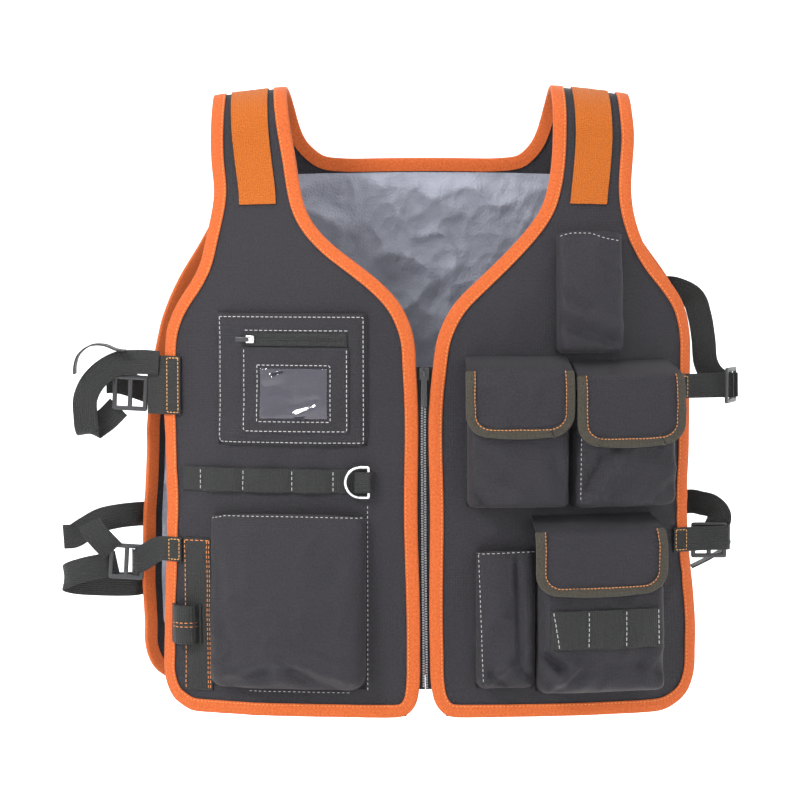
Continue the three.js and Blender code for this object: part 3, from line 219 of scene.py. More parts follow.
def normal_at(side, x, down):
    across = skin(side, x + 1, down) - skin(side, x - 1, down)
    along = skin(side, x, down + 1) - skin(side, x, down - 1)
    return unit(np.cross(across, along) * side)


def place(side, x, down, lift, waves=True):
    """Points at a lift over the form, with the cloth's waves or without."""
    x, down, lift = np.broadcast_arrays(*(np.asarray(v, float) for v in (x, down, lift)))
    height = lift + drape(side, x, down) if waves else lift
    return skin(side, x, down) + normal_at(side, x, down) * height[..., None] + (0, 0, RAISE)


# Materials. Noise and ribs lie in the cloth's own UV, in metres, and on hard pieces in their own
# coordinates.
def shader_of(mat):
    return mat.node_tree.nodes["Principled BSDF"]


def fill(target, values):
    for key, value in values.items():
        target.inputs[key].default_value = value


def material(name, color, rough, values=None):
    mat = bpy.data.materials.new(name)
    mat.use_nodes = True
    fill(shader_of(mat), {"Base Color": (*color, 1), "Roughness": rough, **(values or {})})
    return mat


def node(mat, kind, values=None, **settings):
    """A new node with the values of its sockets and its own settings."""
    made = mat.node_tree.nodes.new(kind)
    for key, value in settings.items():
        setattr(made, key, value)
    fill(made, values or {})
    return made


def link(mat, source, output, target, socket):
    mat.node_tree.links.new(source.outputs[output], target.inputs[socket])


def texture(mat, kind, space, values, **settings):
    """A texture node over the UV, or over the object's own coordinates."""
    made = node(mat, kind, values, **settings)
    link(mat, node(mat, "ShaderNodeTexCoord"), space, made, "Vector")
    return made


def speckle(mat, dark, light, scale, detail=4.0, low=0.35, high=0.65):
    """Colour between two tones by noise."""
    noise = texture(mat, "ShaderNodeTexNoise", "UV", {"Scale": scale, "Detail": detail, "Roughness": 0.65})
    ramp = node(mat, "ShaderNodeValToRGB")
    for stop, position, color in zip(ramp.color_ramp.elements, (low, high), (dark, light)):
        stop.position = position
        stop.color = (*color, 1)
    link(mat, noise, "Fac", ramp, "Fac")
    link(mat, ramp, "Color", shader_of(mat), "Base Color")


def ribs(mat, pitch, direction, distortion):
    """Ribs of a pitch in metres across one UV direction."""
    values = {"Scale": math.pi / (10 * pitch), "Distortion": distortion, "Detail Scale": 1.5}
    return texture(mat, "ShaderNodeTexWave", "UV", values, bands_direction=direction)


def combine(mat, operation, a, b):
    """A sum or product of two node outputs, or of one and a number."""
    made = node(mat, "ShaderNodeMath", operation=operation)
    for index, value in enumerate((a, b)):
        if isinstance(value, tuple):
            link(mat, *value, made, index)
        else:
            made.inputs[index].default_value = value
    return made, "Value"


def bump(mat, height, strength, distance):
    made = node(mat, "ShaderNodeBump", {"Strength": strength, "Distance": distance})
    link(mat, *height, made, "Height")
    link(mat, made, "Normal", shader_of(mat), "Normal")


def vary_gloss(mat, source, low, high):
    spread = node(mat, "ShaderNodeMapRange", {"To Min": low, "To Max": high})
    link(mat, source, "Fac", spread, "Value")
    link(mat, spread, "Result", shader_of(mat), "Roughness")


def woven(name, dark, light, pitch, rough, strength, sheen, fuzz=450.0):
    """Plain-woven cloth or tape: crossed ribs with fibre noise on them."""
    mat = material(name, dark, rough, {"Sheen Weight": sheen, "Specular IOR Level": 0.22})
    speckle(mat, dark, light, fuzz)
    both = combine(mat, "ADD", (ribs(mat, pitch, "X", 0.4), "Fac"), (ribs(mat, pitch, "Y", 0.4), "Fac"))
    fibre = texture(mat, "ShaderNodeTexNoise", "UV", {"Scale": fuzz * 2.2, "Detail": 3.0})
    bump(mat, combine(mat, "ADD", both, (fibre, "Fac")), strength, 0.0004)
    return mat


def ribbed(name, dark, light, pitch, rough, strength, sheen):
    """Webbing with ribs one way and a fainter weave the other."""
    mat = material(name, dark, rough, {"Sheen Weight": sheen, "Specular IOR Level": 0.25})
    speckle(mat, dark, light, 500.0)
    cross = combine(mat, "MULTIPLY", (ribs(mat, pitch * 0.6, "Y", 0.6), "Fac"), 0.5)
    bump(mat, combine(mat, "ADD", (ribs(mat, pitch, "X", 0.6), "Fac"), cross), strength, 0.0005)
    return mat


def crumpled(name, dark, light, rough):
    """Non-woven sheet: soft creases with an embossed dot grain."""
    mat = material(name, dark, rough, {"Sheen Weight": 0.1})
    speckle(mat, dark, light, 60.0, 6.0, 0.3, 0.7)
    grain = texture(mat, "ShaderNodeTexVoronoi", "UV", {"Scale": 520.0})
    crumple = texture(mat, "ShaderNodeTexNoise", "UV", {"Scale": 34.0, "Detail": 5.0, "Distortion": 1.2})
    folds = combine(mat, "MULTIPLY", (crumple, "Fac"), 1.2)
    bump(mat, combine(mat, "ADD", (grain, "Distance"), folds), 0.5, 0.0012)
    return mat


def moulded(name, color, rough):
    mat = material(name, color, rough, {"Coat Weight": 0.05})
    grain = texture(mat, "ShaderNodeTexNoise", "Object", {"Scale": 1500.0, "Detail": 2.0})
    bump(mat, (grain, "Fac"), 0.15, 0.0002)
    return mat


def plated(name, color, rough):
    mat = material(name, color, rough, {"Metallic": 1.0})
    wear = texture(mat, "ShaderNodeTexNoise", "Object", {"Scale": 260.0, "Detail": 4.0})
    vary_gloss(mat, wear, rough * 0.6, rough * 1.7)
    return mat


def film(name, color, rough):
    values = {"Coat Weight": 1.0, "Alpha": 0.55, "Coat Roughness": 0.02, "IOR": 1.6}
    mat = material(name, color, rough, values)
    smudge = texture(mat, "ShaderNodeTexNoise", "UV", {"Scale": 60.0, "Detail": 2.0})
    vary_gloss(mat, smudge, 0.03, 0.16)
    return mat


def thread(name, color):
    return material(name, color, 0.6, {"Sheen Weight": 0.2})


FINISH = {
    "body_cloth": (woven, (0.008, 0.0073, 0.0092), (0.0185, 0.017, 0.0213), 0.0016, 0.62, 0.5, 0.05),
    "lining": (crumpled, (0.17, 0.18, 0.22), (0.215, 0.225, 0.27), 0.62),
    "edge_binding": (woven, (0.33, 0.058, 0.009), (0.46, 0.098, 0.019), 0.0013, 0.75, 0.45, 0.08),
    "hook_tape": (woven, (0.29, 0.056, 0.003), (0.43, 0.115, 0.008), 0.0018, 0.9, 1.0, 0.1, 700.0),
    "flap_binding": (woven, (0.023, 0.0205, 0.0145), (0.048, 0.043, 0.032), 0.0013, 0.8, 0.5, 0.08),
    "webbing": (ribbed, (0.0042, 0.0045, 0.0043), (0.0155, 0.0163, 0.0155), 0.0022, 0.6, 0.6, 0.05),
    "black_plastic": (moulded, (0.012, 0.012, 0.014), 0.38),
    "plated_metal": (plated, (0.66, 0.66, 0.68), 0.22),
    "clear_film": (film, (0.03, 0.027, 0.045), 0.05),
    "dark_metal": (plated, (0.2, 0.2, 0.21), 0.3),
    "orange_thread": (thread, (0.6, 0.2, 0.04)),
    "gold_thread": (thread, (0.52, 0.25, 0.06)),
    "pale_thread": (thread, (0.4, 0.395, 0.39)),
}
FINISH = {name: make(name, *values) for name, (make, *values) in FINISH.items()}


# Meshes
def solid(name, points, faces, uvs, finish, body="vest", stands_for=(), sharp=40):
    """A piece from points in millimetres, smooth but for its sharp edges."""
    mesh = bpy.data.meshes.new(name)
    mesh.from_pydata((np.asarray(points) * MM).tolist(), [], [list(f) for f in faces])
    layer = mesh.uv_layers.new(name="UVMap")
    order = np.empty(len(mesh.loops), dtype=np.int32)
    mesh.loops.foreach_get("vertex_index", order)
    layer.data.foreach_set("uv", (np.asarray(uvs, float) * MM)[order].astype(np.float32).ravel())
    work = bmesh.new()
    work.from_mesh(mesh)
    bmesh.ops.delete(work, geom=[v for v in work.verts if not v.link_faces], context="VERTS")
    bmesh.ops.recalc_face_normals(work, faces=work.faces)
    work.to_mesh(mesh)
    work.free()
    mesh.polygons.foreach_set("use_smooth", [True] * len(mesh.polygons))
    mesh.set_sharp_from_angle(angle=math.radians(sharp))
    mesh.materials.append(FINISH[finish])
    piece = bpy.data.objects.new(name, mesh)
    bpy.context.collection.objects.link(piece)
    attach(piece, body)
    if stands_for:
        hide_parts(*stands_for)
    return piece


def slab(name, outer, inner, uv, finish, keep=None, **more):
    """A wall between two lattices of points; keep marks the cells that exist."""
    rows, columns = outer.shape[:2]
    count = rows * columns
    if keep is None:
        keep = np.ones((rows - 1, columns - 1), bool)
    number = np.arange(count).reshape(rows, columns)
    faces = []
    sides = {}
    for i, j in zip(*np.nonzero(keep)):
        a, b, c, d = number[i, j], number[i + 1, j], number[i + 1, j + 1], number[i, j + 1]
        faces.append((a, b, c, d))
        faces.append((count + a, count + d, count + c, count + b))
        for start, end in ((a, b), (b, c), (c, d), (d, a)):
            if (end, start) in sides:
                del sides[end, start]
            else:
                sides[start, end] = True
    faces += [(b, a, count + a, count + b) for a, b in sides]
    points = np.concatenate([outer.reshape(-1, 3), inner.reshape(-1, 3)])
    flat = uv.reshape(-1, 2)
    return solid(name, points, faces, np.concatenate([flat, flat]), finish, **more)


def wall_on(name, side, x, down, high, low, finish, **more):
    """A wall on the form between two heights, over a lattice of x and down."""
    x, down = np.broadcast_arrays(x, down)
    return slab(name, place(side, x, down, high), place(side, x, down, low), np.stack([x, down], -1),
                finish, **more)


def ring_faces(count, sides, base=0, loop=False):
    """The faces of a body through rings of points, capped unless it is a loop."""
    faces = []
    for i in range(count if loop else count - 1):
        n = (i + 1) % count
        for j in range(sides):
            k = (j + 1) % sides
            corners = (i * sides + j, n * sides + j, n * sides + k, i * sides + k)
            faces.append(tuple(base + v for v in corners))
    if not loop:
        faces.append(tuple(base + j for j in range(sides)))
        faces.append(tuple(base + (count - 1) * sides + j for j in reversed(range(sides))))
    return faces


def arc_length(points):
    steps = np.linalg.norm(np.diff(points, axis=0), axis=1)
    return np.concatenate([[0], np.cumsum(steps)])


def uv_grid(across, along):
    return np.stack(np.broadcast_arrays(across[None, :], along[:, None]), -1)


def tape(name, rings, section, line, finish, replaced):
    """Tape of one section along a line, its UV measured round and along it."""
    uv = uv_grid(arc_length(np.asarray(section)), arc_length(line))
    return solid(name, rings.reshape(-1, 3), ring_faces(*rings.shape[:2]), uv.reshape(-1, 2), finish,
                 stands_for=[replaced])


def at_lengths(at, along, values):
    """Values given at lengths along a line, read at other lengths."""
    return np.stack([np.interp(at, along, values[:, k]) for k in range(values.shape[1])], -1)


def resample(path, step):
    """The same line with points an even step apart."""
    path = np.asarray(path, float)
    along = arc_length(path)
    count = max(int(round(along[-1] / step)), 2)
    return at_lengths(np.linspace(0, along[-1], count + 1), along, path)


def softened(path, times):
    """A line with its corners eased, its ends kept."""
    path = path.copy()
    for _ in range(times):
        path[1:-1] = (path[:-2] + 2 * path[1:-1] + path[2:]) / 4
    return path


def swept_rings(side, path, section):
    """Rings of a section of (reach, lift) pairs along a path of x and down on the form."""
    x, down = path[:, 0], path[:, 1]
    run = unit(np.gradient(place(side, x, down, 0, waves=False), axis=0))
    along_x = (skin(side, x + 1, down) - skin(side, x - 1, down)) / 2
    along_down = (skin(side, x, down + 1) - skin(side, x, down - 1)) / 2
    normal = unit(np.cross(along_x, along_down) * side)
    outward = unit(np.cross(run, normal))
    xx = (along_x ** 2).sum(-1)
    xd = (along_x * along_down).sum(-1)
    dd = (along_down ** 2).sum(-1)
    ox = (outward * along_x).sum(-1)
    od = (outward * along_down).sum(-1)
    scale = xx * dd - xd * xd
    step_x = (ox * dd - od * xd) / scale
    step_down = (od * xx - ox * xd) / scale
    section = np.asarray(section, float)
    reach = section[None, :, 0]
    lift = np.broadcast_to(section[None, :, 1], (len(path), len(section)))
    return place(side, x[:, None] + reach * step_x[:, None],
                 down[:, None] + reach * step_down[:, None], lift)


def band(name, side, path, replaced):
    """A U of tape round a panel's edge, rounded where it folds over."""
    width = BINDING_WIDTH
    low = -CLOTH / 2 - INNER_GAP
    high = CLOTH / 2 + GAP
    middle = (high + low) / 2
    radius = (high - low) / 2
    section = [(-width, high + TAPE), (-width + 1, high + TAPE + 0.2), (-width / 2, high + TAPE + 0.25)]
    for turn in np.radians(np.linspace(90, -90, 7)):
        section.append((GAP - 0.4 + (TAPE + 0.4) * math.cos(turn),
                        middle + (radius + TAPE) * math.sin(turn)))
    section += [(-width / 2, low - TAPE - 0.1), (-width, low - TAPE), (-width, low), (GAP - 0.5, low),
                (GAP - 0.5, high), (-width, high)]
    tape(name, swept_rings(side, path, section), section, path, "edge_binding", replaced)


# Stitches: short threads along lines, each sunk at both ends
LINE_STEP = 3.0
STITCH_SIDES = 5
STITCH_STOPS = np.array([0, 0.12, 0.5, 0.88, 1])
STITCH_RISE = np.array([-0.5, 0.0, 0.18, 0.0, -0.5])[:, None]


def thread_run(line, normals, length, gap, radius):
    """The points and faces of the threads along one line."""
    along = arc_length(line)
    count = max(int((along[-1] + gap) / (length + gap)), 1)
    pitch = (along[-1] + gap) / count
    turn = 2 * math.pi * np.arange(STITCH_SIDES)[:, None] / STITCH_SIDES
    points = []
    faces = []
    for start in np.arange(count) * pitch:
        stops = start + (pitch - gap) * STITCH_STOPS
        at = at_lengths(stops, along, line)
        up = unit(at_lengths(stops, along, normals))
        cross = np.cross(up, unit(at[-1:] - at[:1]))
        at = at + up * STITCH_RISE
        first = len(points)
        points.append(at[0])
        for k in (1, 2, 3):
            points += list(at[k] + radius * (up[k] * np.cos(turn) + cross[k] * np.sin(turn)))
        points.append(at[4])
        last = len(points) - 1
        for q in range(STITCH_SIDES):
            n = (q + 1) % STITCH_SIDES
            faces.append((first, first + 1 + n, first + 1 + q))
            for a in (first + 1, first + 1 + STITCH_SIDES):
                faces.append((a + q, a + n, a + STITCH_SIDES + n, a + STITCH_SIDES + q))
            faces.append((last, last - STITCH_SIDES + q, last - STITCH_SIDES + n))
    return points, faces


def stitches(name, runs, finish, length=3.4, gap=1.5, radius=0.42):
    """One piece of thread from several lines, each with its normals."""
    points = []
    faces = []
    for line, normals in runs:
        new_points, new_faces = thread_run(line, normals, length, gap, radius)
        base = len(points)
        points += new_points
        faces += [tuple(base + v for v in face) for face in new_faces]
    return solid(name, points, faces, np.zeros((len(points), 2)), finish, sharp=80)


def on_form(path, lift):
    """A line of x and down pairs laid on the front at a lift, with its normals."""
    x, down = resample(path, LINE_STEP).T
    return place(FRONT, x, down, lift(x, down) if callable(lift) else lift), normal_at(FRONT, x, down)


# Panels and their bindings
ROW_STEP = 4.5
PATH_STEP = 4.0
FOOT_FROM = 0.93


def row_stops(length, start=0.0):
    """The rows of a panel, closer together at its foot."""
    foot = length * FOOT_FROM
    return np.concatenate([np.arange(start, foot, ROW_STEP), np.linspace(foot, length, 16)])


def between(near, far, share):
    """Rows of x from one edge to another, at shares of the way."""
    return near[:, None] + (far - near)[:, None] * share


def front_path(hand):
    """The edge of a front as x and down: arm, hem and neck, from shoulder to shoulder."""
    stops = row_stops(LENGTH[FRONT])
    arm, neck = (np.stack([edge(FRONT, hand, where, stops), stops], -1) for where in ("arm", "neck"))
    path = softened(resample(np.concatenate([arm, neck[::-1]]), PATH_STEP), 6)
    return path if hand == "right" else path[::-1]


def form_area(side, x, down, keep=1):
    """The area in square metres of a cut laid on the even form, without waves or creases."""
    points = place(side, x, down, 0, waves=False)
    a = points[1:, 1:] - points[:-1, :-1]
    b = points[1:, :-1] - points[:-1, 1:]
    cells = np.linalg.norm(np.cross(a, b), axis=-1) * keep
    return float(cells.sum() / 2 * MM * MM)


def cut_size(box, lift=0.0):
    """The width and length in metres of a cut along the even form."""
    left, right, top, bottom = box
    across = place(FRONT, np.linspace(left, right, 40), (top + bottom) / 2, lift, waves=False)
    along = place(FRONT, (left + right) / 2, np.linspace(top, bottom, 40), lift, waves=False)
    return float(arc_length(across)[-1] * MM), float(arc_length(along)[-1] * MM)


def cloth_uv(points):
    """UV in millimetres measured along the cloth itself, so its weave keeps one size."""
    across = np.linalg.norm(np.diff(points, axis=1), axis=-1)
    down = np.linalg.norm(np.diff(points, axis=0), axis=-1)
    u = np.concatenate([np.zeros((len(points), 1)), np.cumsum(across, 1)], 1)
    v = np.concatenate([np.zeros((1, points.shape[1])), np.cumsum(down, 0)])
    return np.stack([u - u[:, u.shape[1] // 2][:, None], v], -1)


def make_fronts():
    stops = row_stops(LENGTH[FRONT])
    for hand in SIGN:
        x = between(*(edge(FRONT, hand, where, stops) for where in ("arm", "neck")), np.linspace(0, 1, 64))
        piece = wall_on(f"panel_front_{hand}", FRONT, x, stops[:, None], CLOTH / 2, -CLOTH / 2,
                        "body_cloth", stands_for=[f"front_panel_{hand}"])
        form_area(FRONT, x, stops[:, None])
        band(f"edge_front_{hand}", FRONT, front_path(hand), f"binding_front_{hand}")


SHOULDER_COLUMNS = 15


def back_lattice():
    """Rows and columns over the back, with the gap between the shoulders marked."""
    above = np.linspace(2 * GAP, NECK_AT, 18)
    stops = np.concatenate([above, row_stops(LENGTH[BACK], NECK_AT)[1:]])
    strap = np.linspace(0, 1, SHOULDER_COLUMNS)
    middle = np.linspace(0, 1, 34)[1:-1]
    ra, rn, la, ln = (edge(BACK, hand, where, stops) for hand, where in COLUMN)
    x = np.concatenate([between(ra, rn, strap), between(rn, ln, middle), between(ln, la, strap)], 1)
    down = np.broadcast_to(stops[:, None], x.shape).copy()
    dip = NECK_DIP * np.clip(4 * middle * (1 - middle) * 2, 0, 1)
    fade = np.clip(1 - (stops - NECK_AT) / 60, 0, 1) * (stops >= NECK_AT - 0.01)
    down[:, SHOULDER_COLUMNS:SHOULDER_COLUMNS + len(middle)] += fade[:, None] * dip
    keep = np.ones((len(stops) - 1, x.shape[1] - 1), bool)
    keep[:len(above) - 1, SHOULDER_COLUMNS - 1:SHOULDER_COLUMNS + len(middle)] = False
    return x, down, keep, len(above) - 1


def make_back():
    x, down, keep, neck_row = back_lattice()
    piece = wall_on("panel_back", BACK, x, down, CLOTH / 2, -CLOTH / 2, "body_cloth", keep=keep,
                    stands_for=["back_panel"])
    form_area(BACK, x, down, keep)
    grid = np.stack([x, down], -1)
    outer_path = resample(np.concatenate([grid[:, 0], grid[::-1, -1]]), PATH_STEP)
    band("edge_back", BACK, softened(outer_path, 6)[::-1], "binding_back")
    inner = SHOULDER_COLUMNS - 1
    neck_path = resample(np.concatenate([grid[:neck_row, inner], grid[neck_row, inner:-inner],
                                         grid[:neck_row, -inner - 1][::-1]]), PATH_STEP)
    band("edge_back_neck", BACK, softened(neck_path, 5), "binding_back_neck")


LINING_CLEAR = 16.0
LINING_WALL = 0.8
LINING_FOOT = 0.9
LINING_END = 0.953


def make_lining():
    """The wrinkled non-woven inside the back."""
    top, bottom = NECK_AT + LINING_CLEAR, LINING_END * LENGTH[BACK]
    down = np.linspace(top, bottom, 185)[:, None]
    right = edge(BACK, "right", "arm", down) + LINING_CLEAR
    left = edge(BACK, "left", "arm", down) - LINING_CLEAR
    foot = LINING_FOOT * LENGTH[BACK]
    low = np.clip((down - foot) / (bottom - foot), 0, 1)
    x = right + 10 * low + (left - right - 20 * low) * np.linspace(0, 1, 190)
    free = np.clip(np.minimum(np.minimum(abs(x - right), abs(x - left)), down - top) / 14, 0, 1)
    folds = (8.0 * crease(x / 66 + down / 95, down / 60 - x / 120, 31, 1.3)
             + 4.5 * crease(x / 34 - down / 58, down / 40 + x / 90, 37, 1.4)
             + 1.8 * crease(x / 15 + down / 30, down / 17, 41, 1.5) + 0.2 * ripple(x / 6, down / 7, 43))
    lift = -CLOTH / 2 - GAP - 0.1 - free * folds
    piece = wall_on("lining_back", BACK, x, down, lift, lift - LINING_WALL, "lining",
                    stands_for=["back_lining"], sharp=70)
    form_area(BACK, x, down)


HOOK_WIDTH = 37.0
HOOK_FRONT = 147.0
HOOK_BACK = 67.0
HOOK_LIFT = CLOTH / 2 + 0.3
HOOK_WALL = 1.6


def make_shoulder_tapes():
    share = np.linspace(-0.5, 0.5, 12)
    runs = {BACK: np.arange(-HOOK_BACK, 0, 4.0), FRONT: np.arange(0, HOOK_FRONT + 0.1, 4.2)}
    for hand in SIGN:
        parts = []
        for side, stops in runs.items():
            down = np.abs(stops)
            middle = (edge(side, hand, "arm", down) + edge(side, hand, "neck", down)) / 2
            x, down = np.broadcast_arrays(middle[:, None] + share * HOOK_WIDTH, down[:, None])
            fuzz = 0.25 * ripple(x / 1.7, down / 1.7, 51)
            parts.append((place(side, x, down, HOOK_LIFT + HOOK_WALL + fuzz),
                          place(side, x, down, HOOK_LIFT), uv_grid(share * HOOK_WIDTH, stops)))
        outer, inner, uv = (np.concatenate(kind) for kind in zip(*parts))
        piece = slab(f"hook_tape_{hand}", outer, inner, uv, "hook_tape",
                     stands_for=[f"shoulder_tape_{hand}"])


# Pockets: the box as shares of HALF_BREADTH sideways and of the front's length down, the stand at
# the mouth, the depth and the crown, the roll at the sides and the foot with the power of its
# curve, the size of the small wrinkles and the sag of the mouth's corners, in millimetres.
POCKET_COLUMNS = ("left", "right", "top", "bottom", "mouth", "depth", "crown", "side", "foot", "power",
                  "wrinkle", "sag")
POCKETS = {
    "id_pocket": (-0.702, -0.2, 0.387, 0.587, 6, 6, 0, 12, 12, 2.4, 0.35, 0),
    "large_pocket": (-0.722, -0.204, 0.69, 0.958, 12, 26, 4, 20, 24, 3.0, 0.8, 4.0),
    "tall_pocket": (0.432, 0.648, 0.268, 0.447, 14, 18, 3, 10, 12, 3.2, 0.7, 3.0),
    "flap_pocket_a": (0.134, 0.464, 0.478, 0.678, 25, 29, 2, 12, 12, 3.6, 0.6, 0),
    "flap_pocket_b": (0.482, 0.812, 0.486, 0.68, 25, 29, 2, 12, 14, 3.6, 0.8, 0),
    "flap_pocket_c": (0.368, 0.775, 0.725, 0.962, 27, 33, 3, 13, 16, 3.6, 1.0, 0),
    "narrow_pocket": (0.165, 0.362, 0.744, 0.955, 13, 17, 2, 12, 14, 3.2, 0.9, 2.0),
}
POCKETS = {name: dict(zip(POCKET_COLUMNS, row)) for name, row in POCKETS.items()}
POCKET_WALL = 1.6
POCKET_BASE = CLOTH / 2 + 0.25
POCKET_CELL = 2.4
RIM_MOST = 0.3
# Folds seen in the cloth: where each starts and ends across and down its pocket, from 0 to 1,
# and its width and height in millimetres.
FOLDS = {
    "id_pocket": [(0.1, 1.0, 0.4, 0.86, 9, 0.8), (0.5, 0.55, 0.95, 0.7, 12, 0.6)],
    "large_pocket": [
        (0.03, 0.93, 0.45, 0.8, 9, 3.0), (0.45, 0.8, 0.97, 0.95, 8, 3.4),
        (0.5, 0.87, 0.85, 0.99, 7, -4.0), (0.1, 0.98, 0.42, 0.88, 8, -3.4),
        (0.05, 0.15, 0.12, 0.8, 8, -1.5), (0.3, 0.1, 0.28, 0.5, 22, 1.2),
        (0.62, 0.12, 0.7, 0.6, 20, 1.0),
    ],
    "tall_pocket": [
        (0.02, 0.62, 0.95, 0.8, 6, 2.2), (0.05, 0.75, 0.9, 0.92, 5, -2.4),
        (0.05, 0.5, 0.5, 0.66, 5, -1.6), (0.5, 0.05, 0.6, 0.4, 9, 1.0),
    ],
    "flap_pocket_a": [
        (0.06, 0.86, 0.2, 0.98, 5, -2.4), (0.1, 0.8, 0.6, 0.9, 9, 1.4),
        (0.85, 0.6, 0.95, 0.98, 6, -1.6), (0.3, 0.6, 0.8, 0.72, 12, 0.9),
    ],
    "flap_pocket_b": [
        (0.15, 0.98, 0.42, 0.55, 6, 2.6), (0.05, 0.92, 0.3, 0.55, 5, -2.4),
        (0.3, 0.95, 0.62, 0.7, 8, -1.4), (0.75, 0.98, 0.95, 0.8, 6, -1.8),
    ],
    "flap_pocket_c": [
        (0.02, 0.72, 0.2, 0.84, 5, -5.5), (0.1, 0.95, 0.3, 0.78, 5, 4.0),
        (0.0, 0.86, 0.16, 0.98, 6, -4.5), (0.25, 0.97, 0.5, 0.8, 7, 2.0),
        (0.75, 0.8, 0.96, 0.9, 6, -2.5), (0.35, 0.84, 0.8, 0.82, 8, -1.8),
    ],
    "narrow_pocket": [
        (0.68, 0.0, 0.74, 0.9, 3.5, -2.2), (0.12, 0.98, 0.6, 0.8, 5, 2.6),
        (0.2, 0.88, 0.55, 0.98, 4, -2.8), (0.05, 0.6, 0.5, 0.45, 8, 1.0),
        (0.75, 0.85, 0.98, 0.95, 5, -2.2),
    ],
}


def share_box(left, right, top, bottom):
    return left * HALF_BREADTH, right * HALF_BREADTH, top * LENGTH[FRONT], bottom * LENGTH[FRONT]


def box_of(row):
    return share_box(*(row[key] for key in ("left", "right", "top", "bottom")))


def along_fold(fold, across, low, width, height):
    """Shares of the way along a fold, and distances off it, for points at shares of a cloth."""
    x0, d0, x1, d1 = fold[:4]
    run = np.array([(x1 - x0) * width, (d1 - d0) * height])
    span = np.hypot(*run)
    px, pd = (across - x0) * width, (low - d0) * height
    return (px * run[0] + pd * run[1]) / span ** 2, (px * run[1] - pd * run[0]) / span


def fold_height(name, across, low):
    """The folds of a pocket as a height over its even front."""
    left, right, top, bottom = box_of(POCKETS[name])
    total = np.zeros(np.broadcast(across, low).shape)
    for fold in FOLDS[name]:
        t, off = along_fold(fold, across, low, right - left, bottom - top)
        ends = np.clip(np.minimum(t + 0.12, 1.12 - t) / 0.3, 0, 1)
        total = total + 1.9 * fold[5] * ends * ends * (3 - 2 * ends) * np.exp(-(off / fold[4]) ** 2)
    return total


def pocket_rise(name, across, low):
    """How far a pocket's front stands off the panel, at shares across and down it."""
    row = POCKETS[name]
    left, right, top, bottom = box_of(row)
    width, height = right - left, bottom - top
    inner = np.clip(low, 0, 1)
    crown = row["crown"] * np.sin(np.pi * np.clip(across, 0, 1)) * np.sin(np.pi * inner)
    stand = row["mouth"] + (row["depth"] - row["mouth"]) * inner ** 0.8 + crown
    ta = np.clip(np.minimum(across, 1 - across) * width / row["side"], 0, 1)
    td = np.clip((1 - low) * height / row["foot"], 0, 1)
    power = row["power"]
    inside = np.clip(1 - (1 - ta) ** power - (1 - td) ** power, 0, 1) ** (1 / power)
    x = left + across * width
    down = top + low * height
    seed = 60 + len(name) + int(row["depth"])
    small = row["wrinkle"] * (0.7 + 1.1 * inner ** 2) * (
        0.8 * ripple(x / 15, down / 19, seed)
        + 1.6 * crease(x / 30 + down / 50, down / 26 - x / 70, seed + 3, 1.6))
    edge_hold = np.clip(inside * 1.4, 0, 1)
    mouth_hold = np.clip(low * height / 16, 0.25, 1)
    return np.maximum(stand * inside + (fold_height(name, across, low) + small) * edge_hold * mouth_hold, 0)


def share_stops(rim, middle):
    """Stops from 0 to 1, closer together at the two ends."""
    near = rim * (1 - np.cos(np.linspace(0, np.pi / 2, 10)))
    return np.concatenate([near, np.linspace(rim, 1 - rim, middle)[1:-1], 1 - near[::-1]])


def make_pockets():
    for name, row in POCKETS.items():
        left, right, top, bottom = box_of(row)
        width, height = right - left, bottom - top
        foot = min(row["foot"] / height, RIM_MOST)
        across = share_stops(min(row["side"] / width, RIM_MOST), max(int(width / POCKET_CELL), 16))
        low = np.concatenate([np.linspace(0, 1 - foot, max(int(height / POCKET_CELL), 16))[:-1],
                              1 - foot + foot * np.sin(np.linspace(0, np.pi / 2, 12))])
        a, w = np.meshgrid(across, low)
        sag = row["sag"] * (2 * a - 1) ** 4 * np.clip(1 - w * 4, 0, 1)
        x = left + a * width
        down = top + w * height + sag
        rise = pocket_rise(name, a, w)
        hem = np.clip(1 - abs(w * height - 13) / 1.6, 0, 1) * 0.35
        outer = place(FRONT, x, down, POCKET_BASE + np.maximum(rise - hem, 0))
        inner_x = x + np.clip(0.5 - a, -0.1, 0.1) * 10 * POCKET_WALL * np.clip(rise / 4, 0, 1)
        inner = place(FRONT, inner_x, down, POCKET_BASE + np.maximum(rise - POCKET_WALL, 0) * 0.98)
        piece = slab(f"{name}_front", outer, inner, cloth_uv(outer), "body_cloth",
                     stands_for=[name], sharp=60)
        wide, long = cut_size((left, right, top, bottom))


def pocket_lift(name, extra):
    """The height of a pocket's front over the form, for what is laid on it."""
    left, right, top, bottom = box_of(POCKETS[name])

    def lift(x, down):
        across = np.clip((x - left) / (right - left), 0, 1)
        low = np.clip((down - top) / (bottom - top), 0, 1)
        return POCKET_BASE + pocket_rise(name, across, low) + extra

    return lift


# Flaps: the same lattice as the solids, with more rows and a rounder bend
FLAPS = {
    "flap_a": dict(pocket="flap_pocket_a", left=0.128, right=0.466, top=0.452, bottom=0.567),
    "flap_b": dict(pocket="flap_pocket_b", left=0.48, right=0.815, top=0.46, bottom=0.583),
    "flap_c": dict(pocket="flap_pocket_c", left=0.35, right=0.76, top=0.694, bottom=0.807),
}
FLAP_WALL = 2.0
FLAP_CORNER = 22.0
FLAP_CLEAR = 3.0
FLAP_BEND = 15.0
FLAP_SLOPE = FLAP_BEND * 1.1
FLAP_TAPE = 9.0


